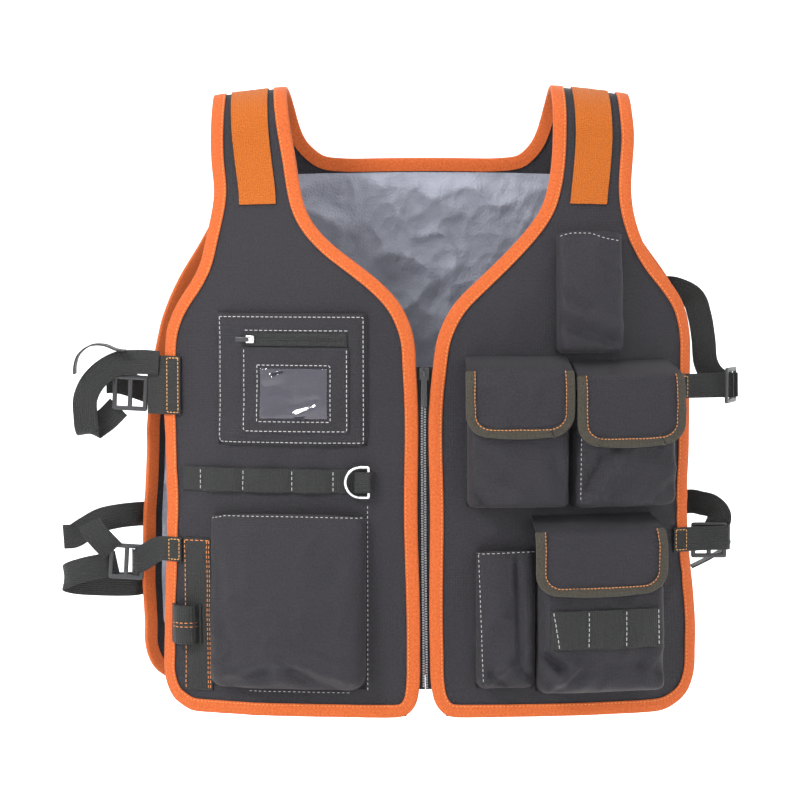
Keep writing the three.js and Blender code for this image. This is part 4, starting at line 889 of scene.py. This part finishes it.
def flap_point(name, across, drop):
    """Points of a flap's middle surface, at shares across and down it."""
    pocket = POCKETS[FLAPS[name]["pocket"]]
    left, right, top, bottom = box_of(FLAPS[name])
    pocket_top, pocket_bottom = box_of(pocket)[2:]
    stand = pocket["mouth"] + FLAP_CLEAR + FLAP_WALL
    down = top + drop * (bottom - top)
    bend = np.clip((down - top) / FLAP_SLOPE, 0, 1)
    rolled = stand * np.sin(bend * np.pi / 2) ** 1.3
    swell = (pocket["depth"] - pocket["mouth"]) * (down - top) / (pocket_bottom - pocket_top)
    over = np.clip((down - top - FLAP_BEND) / 12, 0, 1)
    seed = 90 + len(name) + int(stand + top)
    soft = over * (ripple(across * 3.1, drop * 2.3, seed) + 0.4 * ripple(across * 8, drop * 7, seed + 1))
    height = rolled + (swell + pocket["crown"]) * over + soft
    inset = corner_inset(down - bottom)
    x = left + inset + (right - left - 2 * inset) * across
    bow = 2.5 * np.clip(drop - 0.4, 0, 1) * (1 - (2 * across - 1) ** 2)
    return place(FRONT, x, down + bow, CLOTH / 2 + GAP + FLAP_WALL / 2 + height)


def corner_inset(past_foot):
    """How far a flap's rounded corner pulls its side in, by the way past its foot."""
    beyond = np.maximum(past_foot + FLAP_CORNER, 0)
    return FLAP_CORNER - np.sqrt(np.maximum(FLAP_CORNER ** 2 - beyond ** 2, 0))


def flap_line(name, inset, lift):
    """A line on a flap at an even distance in from its free edge, with its normals."""
    left, right, top, bottom = box_of(FLAPS[name])
    width, height = right - left, bottom - top
    radius = FLAP_CORNER - inset
    side = np.stack([np.full(20, inset), np.linspace(FLAP_BEND * 0.9, height - FLAP_CORNER, 20)], -1)
    turn = np.linspace(0, np.pi / 2, 14)[1:]
    corner = np.stack([FLAP_CORNER - radius * np.cos(turn),
                       height - FLAP_CORNER + radius * np.sin(turn)], -1)
    half = np.concatenate([side, corner])
    far = np.stack([width - half[:, 0], half[:, 1]], -1)[::-1]
    x, down = resample(np.concatenate([half, far]), 2.5).T
    pull = corner_inset(down - height)
    across = np.clip((x - pull) / (width - 2 * pull), 0, 1)
    at = flap_point(name, across, down / height)
    ahead = flap_point(name, across + 0.004, down / height)
    below = flap_point(name, across, down / height + 0.004)
    normal = unit(np.cross(below - at, ahead - at))
    return at + normal * lift, normal


def make_flaps():
    runs = []
    for name, row in FLAPS.items():
        box = box_of(row)
        corner = FLAP_CORNER / (box[3] - box[2])
        drop = np.concatenate([np.linspace(0, 0.24, 12)[:-1], np.linspace(0.24, 1 - corner, 20)[:-1],
                               1 - corner + corner * np.sin(np.linspace(0, np.pi / 2, 14))])
        middle = flap_point(name, *np.meshgrid(np.linspace(0, 1, 44), drop))
        normal = unit(np.cross(np.gradient(middle, axis=0), np.gradient(middle, axis=1)))
        half = normal * FLAP_WALL / 2
        piece = slab(f"{name}_cloth", middle + half, middle - half, cloth_uv(middle), "body_cloth",
                     stands_for=[name], sharp=60)
        stand = POCKETS[row["pocket"]]["mouth"] + FLAP_CLEAR + FLAP_WALL
        wide, long = cut_size(box, stand)
        long += (math.hypot(stand, FLAP_SLOPE) - FLAP_SLOPE) * MM
        flap_tape(name)
        runs.append(flap_line(name, FLAP_TAPE - 1.2, FLAP_WALL / 2 + 1.9))
    stitches("flap_stitches", runs, "orange_thread", length=2.6, gap=1.1, radius=0.36)


def flap_tape(name):
    """The tape round a flap's free edge, rounded where it folds over."""
    at, normal = flap_line(name, 0, 0)
    inward_at, _ = flap_line(name, 4, 0)
    along, other = arc_length(at), arc_length(inward_at)
    inward = unit(at_lengths(along / along[-1], other / other[-1], inward_at) - at)
    half = FLAP_WALL / 2 + 0.4
    section = [(FLAP_TAPE, half), (FLAP_TAPE, half + TAPE), (FLAP_TAPE / 2, half + TAPE + 0.3)]
    for turn in np.radians(np.linspace(90, -90, 7)):
        section.append((0.4 - (TAPE + 0.6) * math.cos(turn), (half + TAPE) * math.sin(turn)))
    section += [(FLAP_TAPE / 2, -half - TAPE - 0.2), (FLAP_TAPE, -half - TAPE), (FLAP_TAPE, -half),
                (0.8, -half), (0.8, half)]
    rings = np.stack([at + inward * r + normal * h for r, h in section], 1)
    tape(f"{name}_tape", rings, section, at, "flap_binding", f"{name}_binding")


# Hard pieces and ribbons
def rod(path, wide, half_width, half_thick, rounding=0.7, power=4.0, loop=False, count=16):
    """Rings of a bar along a path, its two ends rounded."""
    path = np.asarray(path, float)
    if loop:
        run = unit(np.roll(path, -1, axis=0) - np.roll(path, 1, axis=0))
    else:
        run = unit(np.gradient(path, axis=0))
    span = unit(wide - (wide * run).sum(-1, keepdims=True) * run)
    face = np.cross(run, span)
    turn = np.arange(count)[:, None] * 2 * np.pi / count
    c, d = (np.sign(v) * np.abs(v) ** (2 / power) for v in (np.cos(turn), np.sin(turn)))
    rings = path[:, None] + c * half_width * span[:, None] + d * half_thick * face[:, None]
    if loop:
        return rings
    ends = []
    for at, way in ((0, 1), (-1, -1)):
        ends.append(np.array([path[at] + run[at] * way * back * rounding + (rings[at] - path[at]) * shrink
                              for back, shrink in ((0.0, 0.65), (0.3, 0.9), (1.0, 1.0))]))
    return np.concatenate([ends[0], rings[1:-1], ends[1][::-1]])


def joined(name, parts, finish, loop=False, **more):
    """One piece from the rings of several bars."""
    points = []
    faces = []
    for rings in parts:
        faces += ring_faces(*rings.shape[:2], len(points), loop)
        points += list(rings.reshape(-1, 3))
    points = np.array(points)
    return solid(name, points, faces, points[:, [0, 2]], finish, **more)


def ribbon(name, stops, width, finish, replaced, wall=WEBBING):
    """Flat webbing through stops of (place, width direction), with soft selvedges."""
    at, wide = (np.array(kind, float) for kind in zip(*stops))
    knots = np.concatenate([[0], np.cumsum(np.sqrt(np.linalg.norm(np.diff(at, axis=0), axis=1)))])
    fine = np.linspace(0, knots[-1], len(stops) * 10)
    line = hermite(knots, at, fine)
    run = unit(np.gradient(line, axis=0))
    span = hermite(knots, wide, fine)
    span = unit(span - (span * run).sum(-1, keepdims=True) * run)
    face = np.cross(run, span)
    half = width / 2
    across = np.concatenate([[-half, -half + 0.25, -half + 1], np.linspace(-half + 3, half - 3, 9),
                             [half - 1, half - 0.25, half]])
    thick = wall / 2 * np.array([0.35, 0.75, 1.0] + [0.92] * 9 + [1.0, 0.75, 0.35])
    middle = line[:, None] + span[:, None] * across[None, :, None]
    off = face[:, None] * thick[None, :, None]
    along = arc_length(line)
    piece = slab(name, middle + off, middle - off, uv_grid(across, along), finish, stands_for=replaced,
                 sharp=70)


def stops_between(low, high, step):
    near = np.array([0, 0.4, 0.9, 1.6])
    middle = np.linspace(low + 2.4, high - 2.4, max(int((high - low) / step), 4))
    return np.concatenate([low + near, middle, high - near[::-1]])


def loop_cut(box, low):
    """The width and length in metres of webbing that follows its loops across a box."""
    left, right, top, bottom = box
    x = np.linspace(left, right, 200)
    middle = (top + bottom) / 2 + 0 * x
    line = place(FRONT, x, middle, low(x, middle), waves=False)
    return float(arc_length(line)[-1] * MM), (bottom - top) * MM


def laid(name, box, low, wall, finish, replaced, step=2.4, looped=False):
    """A flat piece sewn on the front over a box of x and down, its rim eased."""
    left, right, top, bottom = box
    x, down = np.meshgrid(stops_between(left, right, step), stops_between(top, bottom, step))
    rim = np.minimum(np.minimum(x - left, right - x), np.minimum(down - top, bottom - down))
    t = np.clip(rim / 1.6, 0, 1)
    thick = wall * (0.3 + 0.7 * np.sqrt(1 - (1 - t) ** 2))
    under = low(x, down) if callable(low) else low + 0 * x
    piece = wall_on(name, FRONT, x, down, under + thick, under, finish, sharp=70, stands_for=[replaced])
    loop_cut(box, low) if looped else cut_size(box)


# The card pocket on the flat pocket
CARD_POCKET = share_box(-0.615, -0.258, 0.4375, 0.568)
CARD_ZIP = share_box(-0.605, -0.263, 0.4155, 0.436)
CARD_WINDOW = share_box(-0.553, -0.33, 0.469, 0.5455)
WINDOW_SIZE = (67, 51)
# The film's two buckles, in the same terms as FOLDS
BUCKLED = ((0.45, 1.0, 0.96, 0.74, 5.5, 3.6), (0.06, 0.26, 0.38, 0.1, 3.8, 2.5))
CARD_WALL = 1.5
FILM_WALL = 0.8
CARD_LIFT = 0.25
CARD_SLIDER = np.array([-177.913, -78.377, -248.336])
CARD_PULL = np.array([-178.796, -81.661, -248.336])
CARD_OUT = np.array([-0.2596, -0.9657, 0.0])
CARD_ALONG = np.array([0.9657, -0.2596, 0.0])
UP = np.array([0.0, 0.0, 1.0])
AHEAD = np.array([0.0, -1.0, 0.0])
ACROSS = np.array([1.0, 0.0, 0.0])


def rectangle(box, inset):
    left, right, top, bottom = box
    a, b, c, d = left + inset, right - inset, top + inset, bottom - inset
    return np.array([(a, c), (b, c), (b, d), (a, d), (a, c)])


def film_lift(x, down):
    """The height of the window's film, pressed flat at its rim."""
    left, right, top, bottom = CARD_WINDOW
    across, low = (x - left) / (right - left), (down - top) / (bottom - top)
    height = 0.3 * ripple(x / 11, down / 9, 71)
    for fold in BUCKLED:
        t, off = along_fold(fold, across, low, *WINDOW_SIZE)
        ends = np.clip(np.minimum(t + 0.2, 1.2 - t) / 0.4, 0, 1)
        height = height + fold[5] * ends * np.exp(-(off / fold[4]) ** 2)
    rim = [np.minimum(share, 1 - share) * size for share, size in zip((across, low), WINDOW_SIZE)]
    on_card = pocket_lift("id_pocket", CARD_LIFT + CARD_WALL + 0.3)
    return on_card(x, down) + np.maximum(height, 0) * np.clip(np.minimum(*rim) / 4, 0, 1)


def slider(name, at, along, out, across, plate, bridge, steps, finish):
    """A zip's slider: a plate, and a bridge over it through (along, out) steps."""
    length, *plate_size = plate
    bars = [rod([at - along * length, at, at + along * length], across, *plate_size),
            rod([at + along * a + out * b for a, b in steps], across, *bridge)]
    joined(f"{name}_slider_body", bars, finish, stands_for=[f"{name}_slider"])


def make_card_pocket():
    low = pocket_lift("id_pocket", CARD_LIFT)
    laid("card_pocket_cloth", CARD_POCKET, low, CARD_WALL, "body_cloth", "card_pocket")
    laid("card_zip_tape", CARD_ZIP, low, CARD_WALL, "webbing", "card_zip")
    laid("card_window_film", CARD_WINDOW, film_lift, FILM_WALL, "clear_film",
         "card_window", step=1.2)
    left, right, top, bottom = CARD_ZIP
    middle = (top + bottom) / 2
    coil = on_form([(left + 3, middle), (right - 3, middle)],
                   pocket_lift("id_pocket", CARD_LIFT + CARD_WALL + 0.2))
    stitches("card_zip_coil", [coil], "black_plastic", length=1.1, gap=0.35, radius=0.95)
    on_cloth = pocket_lift("id_pocket", 0.4)
    over = pocket_lift("id_pocket", CARD_LIFT + CARD_WALL + 0.1)
    runs = [on_form(rectangle(CARD_POCKET, 2.4)[1:], over), on_form(rectangle(CARD_WINDOW, -3), over),
            on_form([(left, top - 2.2), (right, top - 2.2)], on_cloth),
            on_form(rectangle(box_of(POCKETS["id_pocket"]), 3.5), on_cloth)]
    stitches("card_pocket_stitches", runs, "pale_thread")
    slider("card", CARD_SLIDER, CARD_ALONG, CARD_OUT, UP, (4.3, 3.8, 0.9), (1.1, 0.5),
           ((-3, 0.6), (-2, 2.2), (0, 2.9), (2, 2.2), (3, 0.6)), "plated_metal")
    tab = [CARD_PULL - CARD_ALONG * reach for reach in (0.6, 5, 14.4)]
    joined("card_pull_tab", [rod(tab, UP, 2.2, 0.6)], "black_plastic", body="card_tab",
           stands_for=["card_pull"])


# The front zip
ZIP_TOP = 312.0
ZIP_FOOT = 643.0
ZIP_HIGH = -3.6
ZIP_LOW = -4.6
TOOTH_PITCH = 2.6
ZIP_SLIDER = np.array([-2.636, -86.451, -282.663])
ZIP_PULL = np.array([-2.639, -89.851, -282.663])


def make_zip():
    stops = np.arange(ZIP_TOP, ZIP_FOOT, 4.0)
    middle = (edge(FRONT, "left", "neck", stops) + edge(FRONT, "right", "neck", stops)) / 2
    reach = np.concatenate([[0.2, 0.8], np.linspace(2, 12.5, 7), [13.4, 14]])
    for hand, sign in SIGN.items():
        piece = wall_on(f"zip_cloth_{hand}", FRONT, middle[:, None] + sign * reach, stops[:, None],
                        ZIP_HIGH, ZIP_LOW, "webbing", stands_for=[f"zip_tape_{hand}"])
        teeth = []
        first = ZIP_TOP + 2 + (TOOTH_PITCH / 2 if hand == "left" else 0)
        for tooth in np.arange(first, ZIP_FOOT - 4, TOOTH_PITCH):
            centre = float(np.interp(tooth, stops, middle))
            near = place(FRONT, centre + sign * 0.3, tooth, -2.0)
            far = place(FRONT, centre + sign * 2.7, tooth, -2.1)
            teeth.append(rod([near, (near + far) / 2, far], UP, 0.95, 1.05, rounding=0.4, count=8))
        joined(f"zip_chain_{hand}", teeth, "dark_metal", stands_for=[f"zip_teeth_{hand}"])
    slider("zip", ZIP_SLIDER, -UP, AHEAD, ACROSS, (6.3, 4.8, 0.9), (1.6, 0.6),
           ((-4, 0.5), (-3, 3.2), (0, 4.6), (3, 3.2), (4, 0.5)), "black_plastic")
    pull = [ZIP_PULL - UP * drop for drop in (0.8, 6, 20, 33.4)]
    joined("zip_pull_tab", [rod(pull, ACROSS, 2.8, 0.7)], "black_plastic", body="zip_tab",
           stands_for=["zip_pull"])


# Webbing sewn on the fronts
SEAM_FLAT = 2.6
SEAM_INSET = 2.5
STRIP_BASE = CLOTH / 2 + GAP


def bulged(base, box, seams, bulges):
    """The height of webbing that stands off between its seams."""
    left, right = box[:2]
    seams, bulges = np.asarray(seams, float), np.asarray(bulges, float)

    def lift(x, down):
        share = np.clip((x - left) / (right - left), 0, 1)
        k = np.clip(np.searchsorted(seams, share, side="right") - 1, 0, len(bulges) - 1)
        part = (share - seams[k]) / (seams[k + 1] - seams[k])
        flat = SEAM_FLAT / ((right - left) * (seams[k + 1] - seams[k]))
        part = np.clip((part - flat) / (1 - 2 * flat), 0, 1)
        under = base(x, down) if callable(base) else base
        return under + bulges[k] * np.sqrt(np.maximum(np.sin(np.pi * part), 0))

    return lift


def strip_box(left, right, middle, height):
    down = middle * LENGTH[FRONT]
    return left * HALF_BREADTH, right * HALF_BREADTH, down - height / 2, down + height / 2


def cross_seams(box, shares, lift):
    """Lines of stitches across a strip at shares of its length."""
    left, right, top, bottom = box
    lines = [left + share * (right - left) for share in shares]
    return [on_form([(x, top + SEAM_INSET), (x, bottom - SEAM_INSET)], lift) for x in lines]


def make_webbing():
    tools = strip_box(-0.825, -0.194, 0.641, 25)
    seams = (0, 0.1, 0.33, 0.59, 0.81, 1)
    laid("tool_webbing_strip", tools, bulged(STRIP_BASE, tools, seams, (0, 3, 3, 3, 0)), WEBBING,
         "webbing", "tool_webbing", looped=True)
    stitches("tool_webbing_stitches",
             cross_seams(tools, (*seams[1:5], 0.98), STRIP_BASE + WEBBING + 0.15), "pale_thread")
    strip = share_box(-0.824, -0.727, 0.732, 0.968)
    laid("hammer_strip_webbing", strip, STRIP_BASE, WEBBING, "webbing",
         "hammer_strip")
    left, right, top, bottom = strip
    top, bottom = top + SEAM_INSET, bottom - SEAM_INSET
    lines = [[(x, top), (x, bottom)] for x in (left + 2.2, right - 2.2, right - 4.4)]
    lines.append([(left + SEAM_INSET, top), (right - SEAM_INSET, top)])
    rails = [on_form(line, STRIP_BASE + WEBBING + 0.1) for line in lines]
    loop = strip_box(-0.862, -0.76, 0.865, LOOP_WIDTH)
    arch = bulged(STRIP_BASE + WEBBING + GAP, loop, (0, 1), (11,))
    laid("hammer_loop_webbing", loop, arch, WEBBING, "webbing", "hammer_loop",
         step=1.2, looped=True)
    centre = (loop[2] + loop[3]) / 2
    for down in (centre - 2, centre + 2):
        rails.append(on_form([(loop[0] + 3, down), (loop[1] - 3, down)],
                             lambda x, d: arch(x, d) + WEBBING + 0.1))
    stitches("hammer_stitches", rails, "orange_thread")
    strip = strip_box(0.4, 0.745, 0.861, LOOP_WIDTH)
    over = bulged(pocket_lift("flap_pocket_c", 0.3), strip, (0, 0.34, 0.68, 1), (2, 2, 2))
    laid("pocket_webbing_strip", strip, over, WEBBING, "webbing",
         "pocket_c_webbing", looped=True)
    rails = cross_seams(strip, (0.34, 0.68, 0.985), pocket_lift("flap_pocket_c", WEBBING + 0.55))
    rails.append(on_form([(strip[0] + 1.8, strip[2] + 2), (strip[0] + 7, strip[3] - 2)],
                         lambda x, d: over(x, d) + WEBBING + 0.2))
    stitches("pocket_webbing_stitches", rails, "pale_thread")


# The D-ring in its own frame
RING_AT = np.array([-58.56, -90.521, -391.857])
RING_X = np.array([0.9987, -0.0514, 0.0])
RING_Y = np.array([0.0514, 0.9987, 0.0])
RING_HALF = 14.2
RING_WIRE = 1.6
KEEPER_OFF = 2.8
KEEPER_WIDTH = 21.0
KEEPER_WALL = 1.2


def ring_point(x, y, z):
    return RING_AT + RING_X * x + RING_Y * y + UP * z


def make_ring():
    straight = [(0.0, z) for z in np.linspace(-RING_HALF, RING_HALF, 10)]
    half = [(-1 + math.cos(t), RING_HALF + math.sin(t)) for t in np.linspace(0.3, np.pi / 2, 4)]
    half += [(x, RING_HALF + 1) for x in (-3, -5, -7)]
    bow = [(-8.2 - (RING_HALF + 1) * math.sin(t), (RING_HALF + 1) * math.cos(t))
           for t in np.linspace(0, np.pi, 26)]
    path = straight + half + bow + [(x, -z) for x, z in reversed(half)]
    points = np.array([ring_point(x, 0, z) for x, z in path])
    joined("ring_wire", [rod(points, RING_Y, RING_WIRE, RING_WIRE, power=2.0, loop=True, count=14)],
           "plated_metal", loop=True, body="ring", stands_for=["d_ring"], sharp=60)
    stops = [(x, KEEPER_OFF) for x in (-14, -10, -5, 0)]
    stops += [(KEEPER_OFF * math.sin(t), KEEPER_OFF * math.cos(t)) for t in np.linspace(0.4, np.pi - 0.4, 6)]
    stops += [(x, -KEEPER_OFF) for x in (0, -5, -10, -14)]
    ribbon("ring_keeper", [(ring_point(x, y, 0), UP) for x, y in stops], KEEPER_WIDTH, "webbing",
           ["d_ring_keeper"], wall=KEEPER_WALL)


# Side straps: an anchor on the front's arm edge, then (out, back, up) from it in millimetres,
# with the width's direction where it isn't upright.
SLANT = (0.7, 0, 0.7)
DEEP = (0, 1, 0)
SIDEWAYS = (1, 0, 0)
BACKSLANT = (-0.75, 0, 0.65)
STRAPS = {
    "upper_right": dict(
        hand="right", down=0.499, width=60, tab=[(9, 4.5, 0), (18, 8, 0)],
        runs=[
            ("loop", None, [
                (6, 0.6, 22), (18, 4, 23), (32, 6, 23), (46, 6, 22, 0.2, 0, 0.98), (62, 6, 14, *SLANT),
                (75, 6, 1, 0.92, 0, 0.38), (82, 6, -15, *SIDEWAYS), (82, 7, -32, *SIDEWAYS),
                (81, 9, -45, *SIDEWAYS), (79, 15, -51, *SIDEWAYS), (73, 20, -45, 0.9, 0, 0.4),
                (61, 20.5, -36, *SLANT), (49, 18.8, -24, *SLANT)]),
            ("fold", None, [
                (41, 6, 34.6, *DEEP), (49, 6, 35.6, *DEEP), (62, 6, 40.5, *DEEP), (76, 6, 40, *DEEP),
                (88, 6, 31, *DEEP), (92, 6, 20, *DEEP), (92.5, 6, 11, *DEEP)]),
            ("back", 0.53, [(62, 24, 2), (54, 27, 2), (44, 32, 0), (34, 39, -4)]),
        ]),
    "lower_right": dict(
        hand="right", down=0.751, width=STRAP_WIDTH,
        tab=[(9, 4.5, -1), (18, 7.4, -6), (26.5, 8.2, -12), (34, 9.4, -15), (37, 19, -15)],
        runs=[
            ("loop", 0.837, [
                (53, 21, -17), (62, 18.5, -19), (84, 15, -23), (102, 17, -29), (108, 25, -34),
                (99, 34, -39), (66, 40, -42), (38, 42, -42)]),
            ("back", 0.726, [
                (108, 16, 10), (97, 17, 11), (86, 19, 18, 0, 0.3, 0.95), (72, 23, 26, 0, 0.4, 0.9),
                (52, 31, 30), (36, 40, 31)]),
            ("fold", None, [
                (57, 11, -4, *BACKSLANT), (64, 7, 4, *BACKSLANT), (71, 6, 12, *BACKSLANT),
                (77, 7, 20, *BACKSLANT), (80, 9, 26, *BACKSLANT)]),
        ]),
    "upper_left": dict(
        hand="left", down=0.501, width=STRAP_WIDTH,
        tab=[(12, 6, 0), (24, 10, 0), (34, 11.5, 0), (41, 12, 0), (45, 9.5, 0)],
        runs=[
            ("back", 0.365, [
                (51, 24, 0), (44, 27, 0), (36, 30, 2, 0.2, 0, 0.98), (26, 33, 9, 0.6, 0, 0.8),
                (19, 36, 22, 0.92, 0, 0.38), (17, 42, 46, *SIDEWAYS), (14, 54, 70, 0.98, 0, 0.2),
                (8, 67, 88, 0.9, 0, 0.43)]),
        ]),
    "lower_left": dict(
        hand="left", down=0.737, width=STRAP_WIDTH,
        tab=[(12, 6, 0), (24, 9.5, 0), (35, 11.5, 0), (42, 14, 0), (43.5, 18, 0), (41, 21.9, 0),
             (34, 22.6, 0)],
        runs=[
            ("back", 0.71, [
                (30, 26, 8, 0.9, 0, 0.4), (34, 27, 20, *SLANT), (28, 31, 30), (16, 40, 33), (8, 48, 34)]),
            ("end", None, [
                (40.8, 38.6, 3, *DEEP), (45, 38, -6, *DEEP), (40, 37, -14, *DEEP),
                (24, 37, -24, *DEEP), (6, 37, -33, *DEEP)]),
        ]),
}
STRAP_LIFT = 3.8
# The middle of each ladder lock, then its across, back and up directions
BUCKLES = {
    "upper_right": ((-303.759, -21.4, -306.039), (0.992, -0.1196, -0.04), (0.1197, 0.9928, 0),
                    (0.0397, -0.0048, 0.9992)),
    "lower_right": ((-308.861, -20.016, -480.114), (0.9956, -0.0798, -0.05), (0.0799, 0.9968, 0),
                    (0.0498, -0.004, 0.9988)),
    "upper_left": ((312.981, -13.688, -298.372), (0.3624, 0.932, 0), (-0.932, 0.3624, 0), (0, 0, 1)),
    "lower_left": ((291.662, -13.998, -458.774), (1, 0, 0), (0, 1, 0), (0, 0, 1)),
}
BUCKLE_HALF = 16
BUCKLE_REACH = 17.6
BUCKLE_BAR = 2.4
BUCKLE_ROUND = 2.2


def strap_stop(anchor, sign, row):
    out, back, up = row[:3]
    wide = row[3:] or (0, 0, 1)
    return anchor + (sign * out, back, up), (sign * wide[0], wide[1], wide[2])


def make_straps():
    boxes = []
    for name, row in STRAPS.items():
        hand = row["hand"]
        sign = SIGN[hand]
        down = row["down"] * LENGTH[FRONT]
        rim = float(edge(FRONT, hand, "arm", down, smooth=False))
        anchor = place(FRONT, rim, down, STRAP_LIFT, waves=False)
        tab = [(place(FRONT, rim - sign * reach, down, STRAP_LIFT), UP) for reach in (16, 8, 0)]
        tab += [strap_stop(anchor, sign, stop) for stop in row["tab"]]
        ribbon(f"{name}_tab_webbing", tab, row["width"], "webbing", [f"strap_{name}_front"])
        for run, back_share, stops in row["runs"]:
            line = [strap_stop(anchor, sign, stop) for stop in stops]
            if back_share:
                level = back_share * LENGTH[BACK]
                far = float(edge(BACK, hand, "arm", level, smooth=False))
                line += [(place(BACK, far - sign * reach, level, STRAP_LIFT + 0.5), UP)
                         for reach in (0, 12, 24)]
            ribbon(f"{name}_{run}_webbing", line, STRAP_WIDTH, "webbing", [f"strap_{name}_{run}"])
        half = row["width"] / 2 - 2.2
        near, far = rim - sign * 14, rim - sign * 3
        path = [(near, down - half), (far, down - half), (far, down + half), (near, down + half),
                (near, down - half)]
        fine = resample(path, 2.0)
        level = place(FRONT, fine[:, 0], down + 0 * fine[:, 0], STRAP_LIFT + 0.95)
        boxes.append((level + UP * (down - fine[:, 1:]), normal_at(FRONT, fine[:, 0], fine[:, 1])))
    stitches("strap_stitches", boxes, "gold_thread", length=2.8, gap=1.0, radius=0.5)


def make_buckles():
    """Ladder locks: two rails, three bars, the outer corners rounded."""
    ends = (-BUCKLE_REACH, 0, BUCKLE_REACH)
    for name, rows in BUCKLES.items():
        at, across, _, up = (np.array(row, float) for row in rows)
        parts = []
        for side in (-1, 1):
            rail = [at + up * side * BUCKLE_HALF + across * k for k in ends]
            parts.append(rod(rail, up, BUCKLE_BAR, 1.7, rounding=BUCKLE_ROUND, power=3.0))
        for k, thick in ((-BUCKLE_HALF, 1.7), (0, 1.5), (BUCKLE_HALF, 1.7)):
            bar = [at + across * k + up * z for z in ends]
            parts.append(rod(bar, across, BUCKLE_BAR, thick, rounding=BUCKLE_ROUND, power=3.0))
        joined(f"{name}_lock", parts, "black_plastic", stands_for=[f"buckle_{name}"])


# Seams of the pockets, as x and down, and the thread along the bindings
SEAMS = {
    "large_pocket": [[(-214, 466), (-199, 462.6), (-150, 462.2), (-64, 463)],
                     [(-59.6, 452), (-59.6, 640)], [(-180, 643), (-78, 643)]],
    "tall_pocket": [[(132, 184), (143, 181), (162, 181), (176, 186), (189, 188)],
                    [(196, 181), (196, 266)]],
    "flap_pocket_b": [[(149, 362), (149, 444)]],
    "narrow_pocket": [[(51, 499), (106, 496.8)], [(51.5, 500), (56, 628)]],
}


def make_seams():
    runs = [on_form(path, pocket_lift(name, 0.1)) for name, paths in SEAMS.items() for path in paths]
    stitches("pocket_stitches", runs, "pale_thread", length=2.8, gap=2.1, radius=0.36)
    runs = []
    for hand in SIGN:
        path = front_path(hand)
        line = swept_rings(FRONT, path, [(-10.4, CLOTH / 2 + GAP + TAPE + 0.25)])[:, 0]
        runs.append((line, normal_at(FRONT, path[:, 0], path[:, 1])))
    stitches("binding_stitches", runs, "orange_thread", length=2.6, gap=1.4, radius=0.36)


for make in (make_fronts, make_back, make_lining, make_shoulder_tapes, make_pockets, make_flaps,
             make_card_pocket, make_zip, make_webbing, make_ring, make_straps, make_buckles, make_seams):
    make()


# The stage, in metres
FLOOR = -0.85
FLOOR_RADIUS = 5.4
BEND_RADIUS = 1.6
WALL_TOP = 6.0
STAGE_SIDES = 72
# Each light's name, place, aim, power and size
LIGHTS = (
    ("key", (-1.9, -1.7, 1.3), (0, 0, -0.3), 74, 0.7),
    ("fill", (2.2, -2.2, 0.3), (0, 0, -0.35), 8, 1.6),
    ("top", (0.1, -0.5, 2.2), (0, 0, -0.3), 40, 1.2),
    ("rear", (0.6, 2.6, 1.0), (0, 0, -0.3), 22, 2.0),
)


def aimed(made, place_at, aim):
    """Puts a light or a camera in the scene and turns it to its aim."""
    made.location = place_at
    made.rotation_euler = (Vector(aim) - Vector(place_at)).to_track_quat("-Z", "Y").to_euler()
    bpy.context.collection.objects.link(made)


def stage():
    """A pale round floor that curves up into its own backdrop, with soft light."""
    profile = [(0.02, FLOOR)]
    profile += [(FLOOR_RADIUS + BEND_RADIUS * math.cos(t), FLOOR + BEND_RADIUS + BEND_RADIUS * math.sin(t))
                for t in np.linspace(-np.pi / 2, 0, 25)]
    profile.append((FLOOR_RADIUS + BEND_RADIUS, WALL_TOP))
    turn = 2 * np.pi * np.arange(STAGE_SIDES) / STAGE_SIDES
    points = [(r * math.cos(t), r * math.sin(t), z) for r, z in profile for t in turn]
    mesh = bpy.data.meshes.new("floor")
    faces = [(k * STAGE_SIDES + j, k * STAGE_SIDES + (j + 1) % STAGE_SIDES,
              (k + 1) * STAGE_SIDES + (j + 1) % STAGE_SIDES, (k + 1) * STAGE_SIDES + j)
             for k in range(len(profile) - 1) for j in range(STAGE_SIDES)]
    mesh.from_pydata(points, [], faces + [tuple(range(STAGE_SIDES))])
    mesh.polygons.foreach_set("use_smooth", [True] * len(mesh.polygons))
    floor = bpy.data.objects.new("floor", mesh)
    bpy.context.collection.objects.link(floor)
    floor.data.materials.append(material("floor_paper", (0.97, 0.97, 0.975), 0.95,
                                         {"Emission Color": (1, 1, 1, 1), "Emission Strength": 0.45}))
    world = bpy.data.worlds.new("studio")
    world.use_nodes = True
    fill(world.node_tree.nodes["Background"], {"Color": (0.93, 0.94, 0.96, 1), "Strength": 0.5})
    bpy.context.scene.world = world
    bpy.context.scene.view_settings.view_transform = "Standard"
    for name, place_at, aim, power, size in LIGHTS:
        light = bpy.data.lights.new(name, "AREA")
        light.energy = power
        light.size = size
        aimed(bpy.data.objects.new(name, light), place_at, aim)


CAMERA_AIM = Vector((-0.027, 0, -0.315))
CAMERA_ELEVATION = math.radians(4)
CAMERA_DISTANCE = 3.1


def camera():
    data = bpy.data.cameras.new("camera")
    data.lens = 135
    data.sensor_width = 36
    made = bpy.data.objects.new("camera", data)
    way = Vector((0, -math.cos(CAMERA_ELEVATION), math.sin(CAMERA_ELEVATION)))
    aimed(made, CAMERA_AIM + CAMERA_DISTANCE * way, CAMERA_AIM)
    bpy.context.scene.camera = made


stage()
camera()
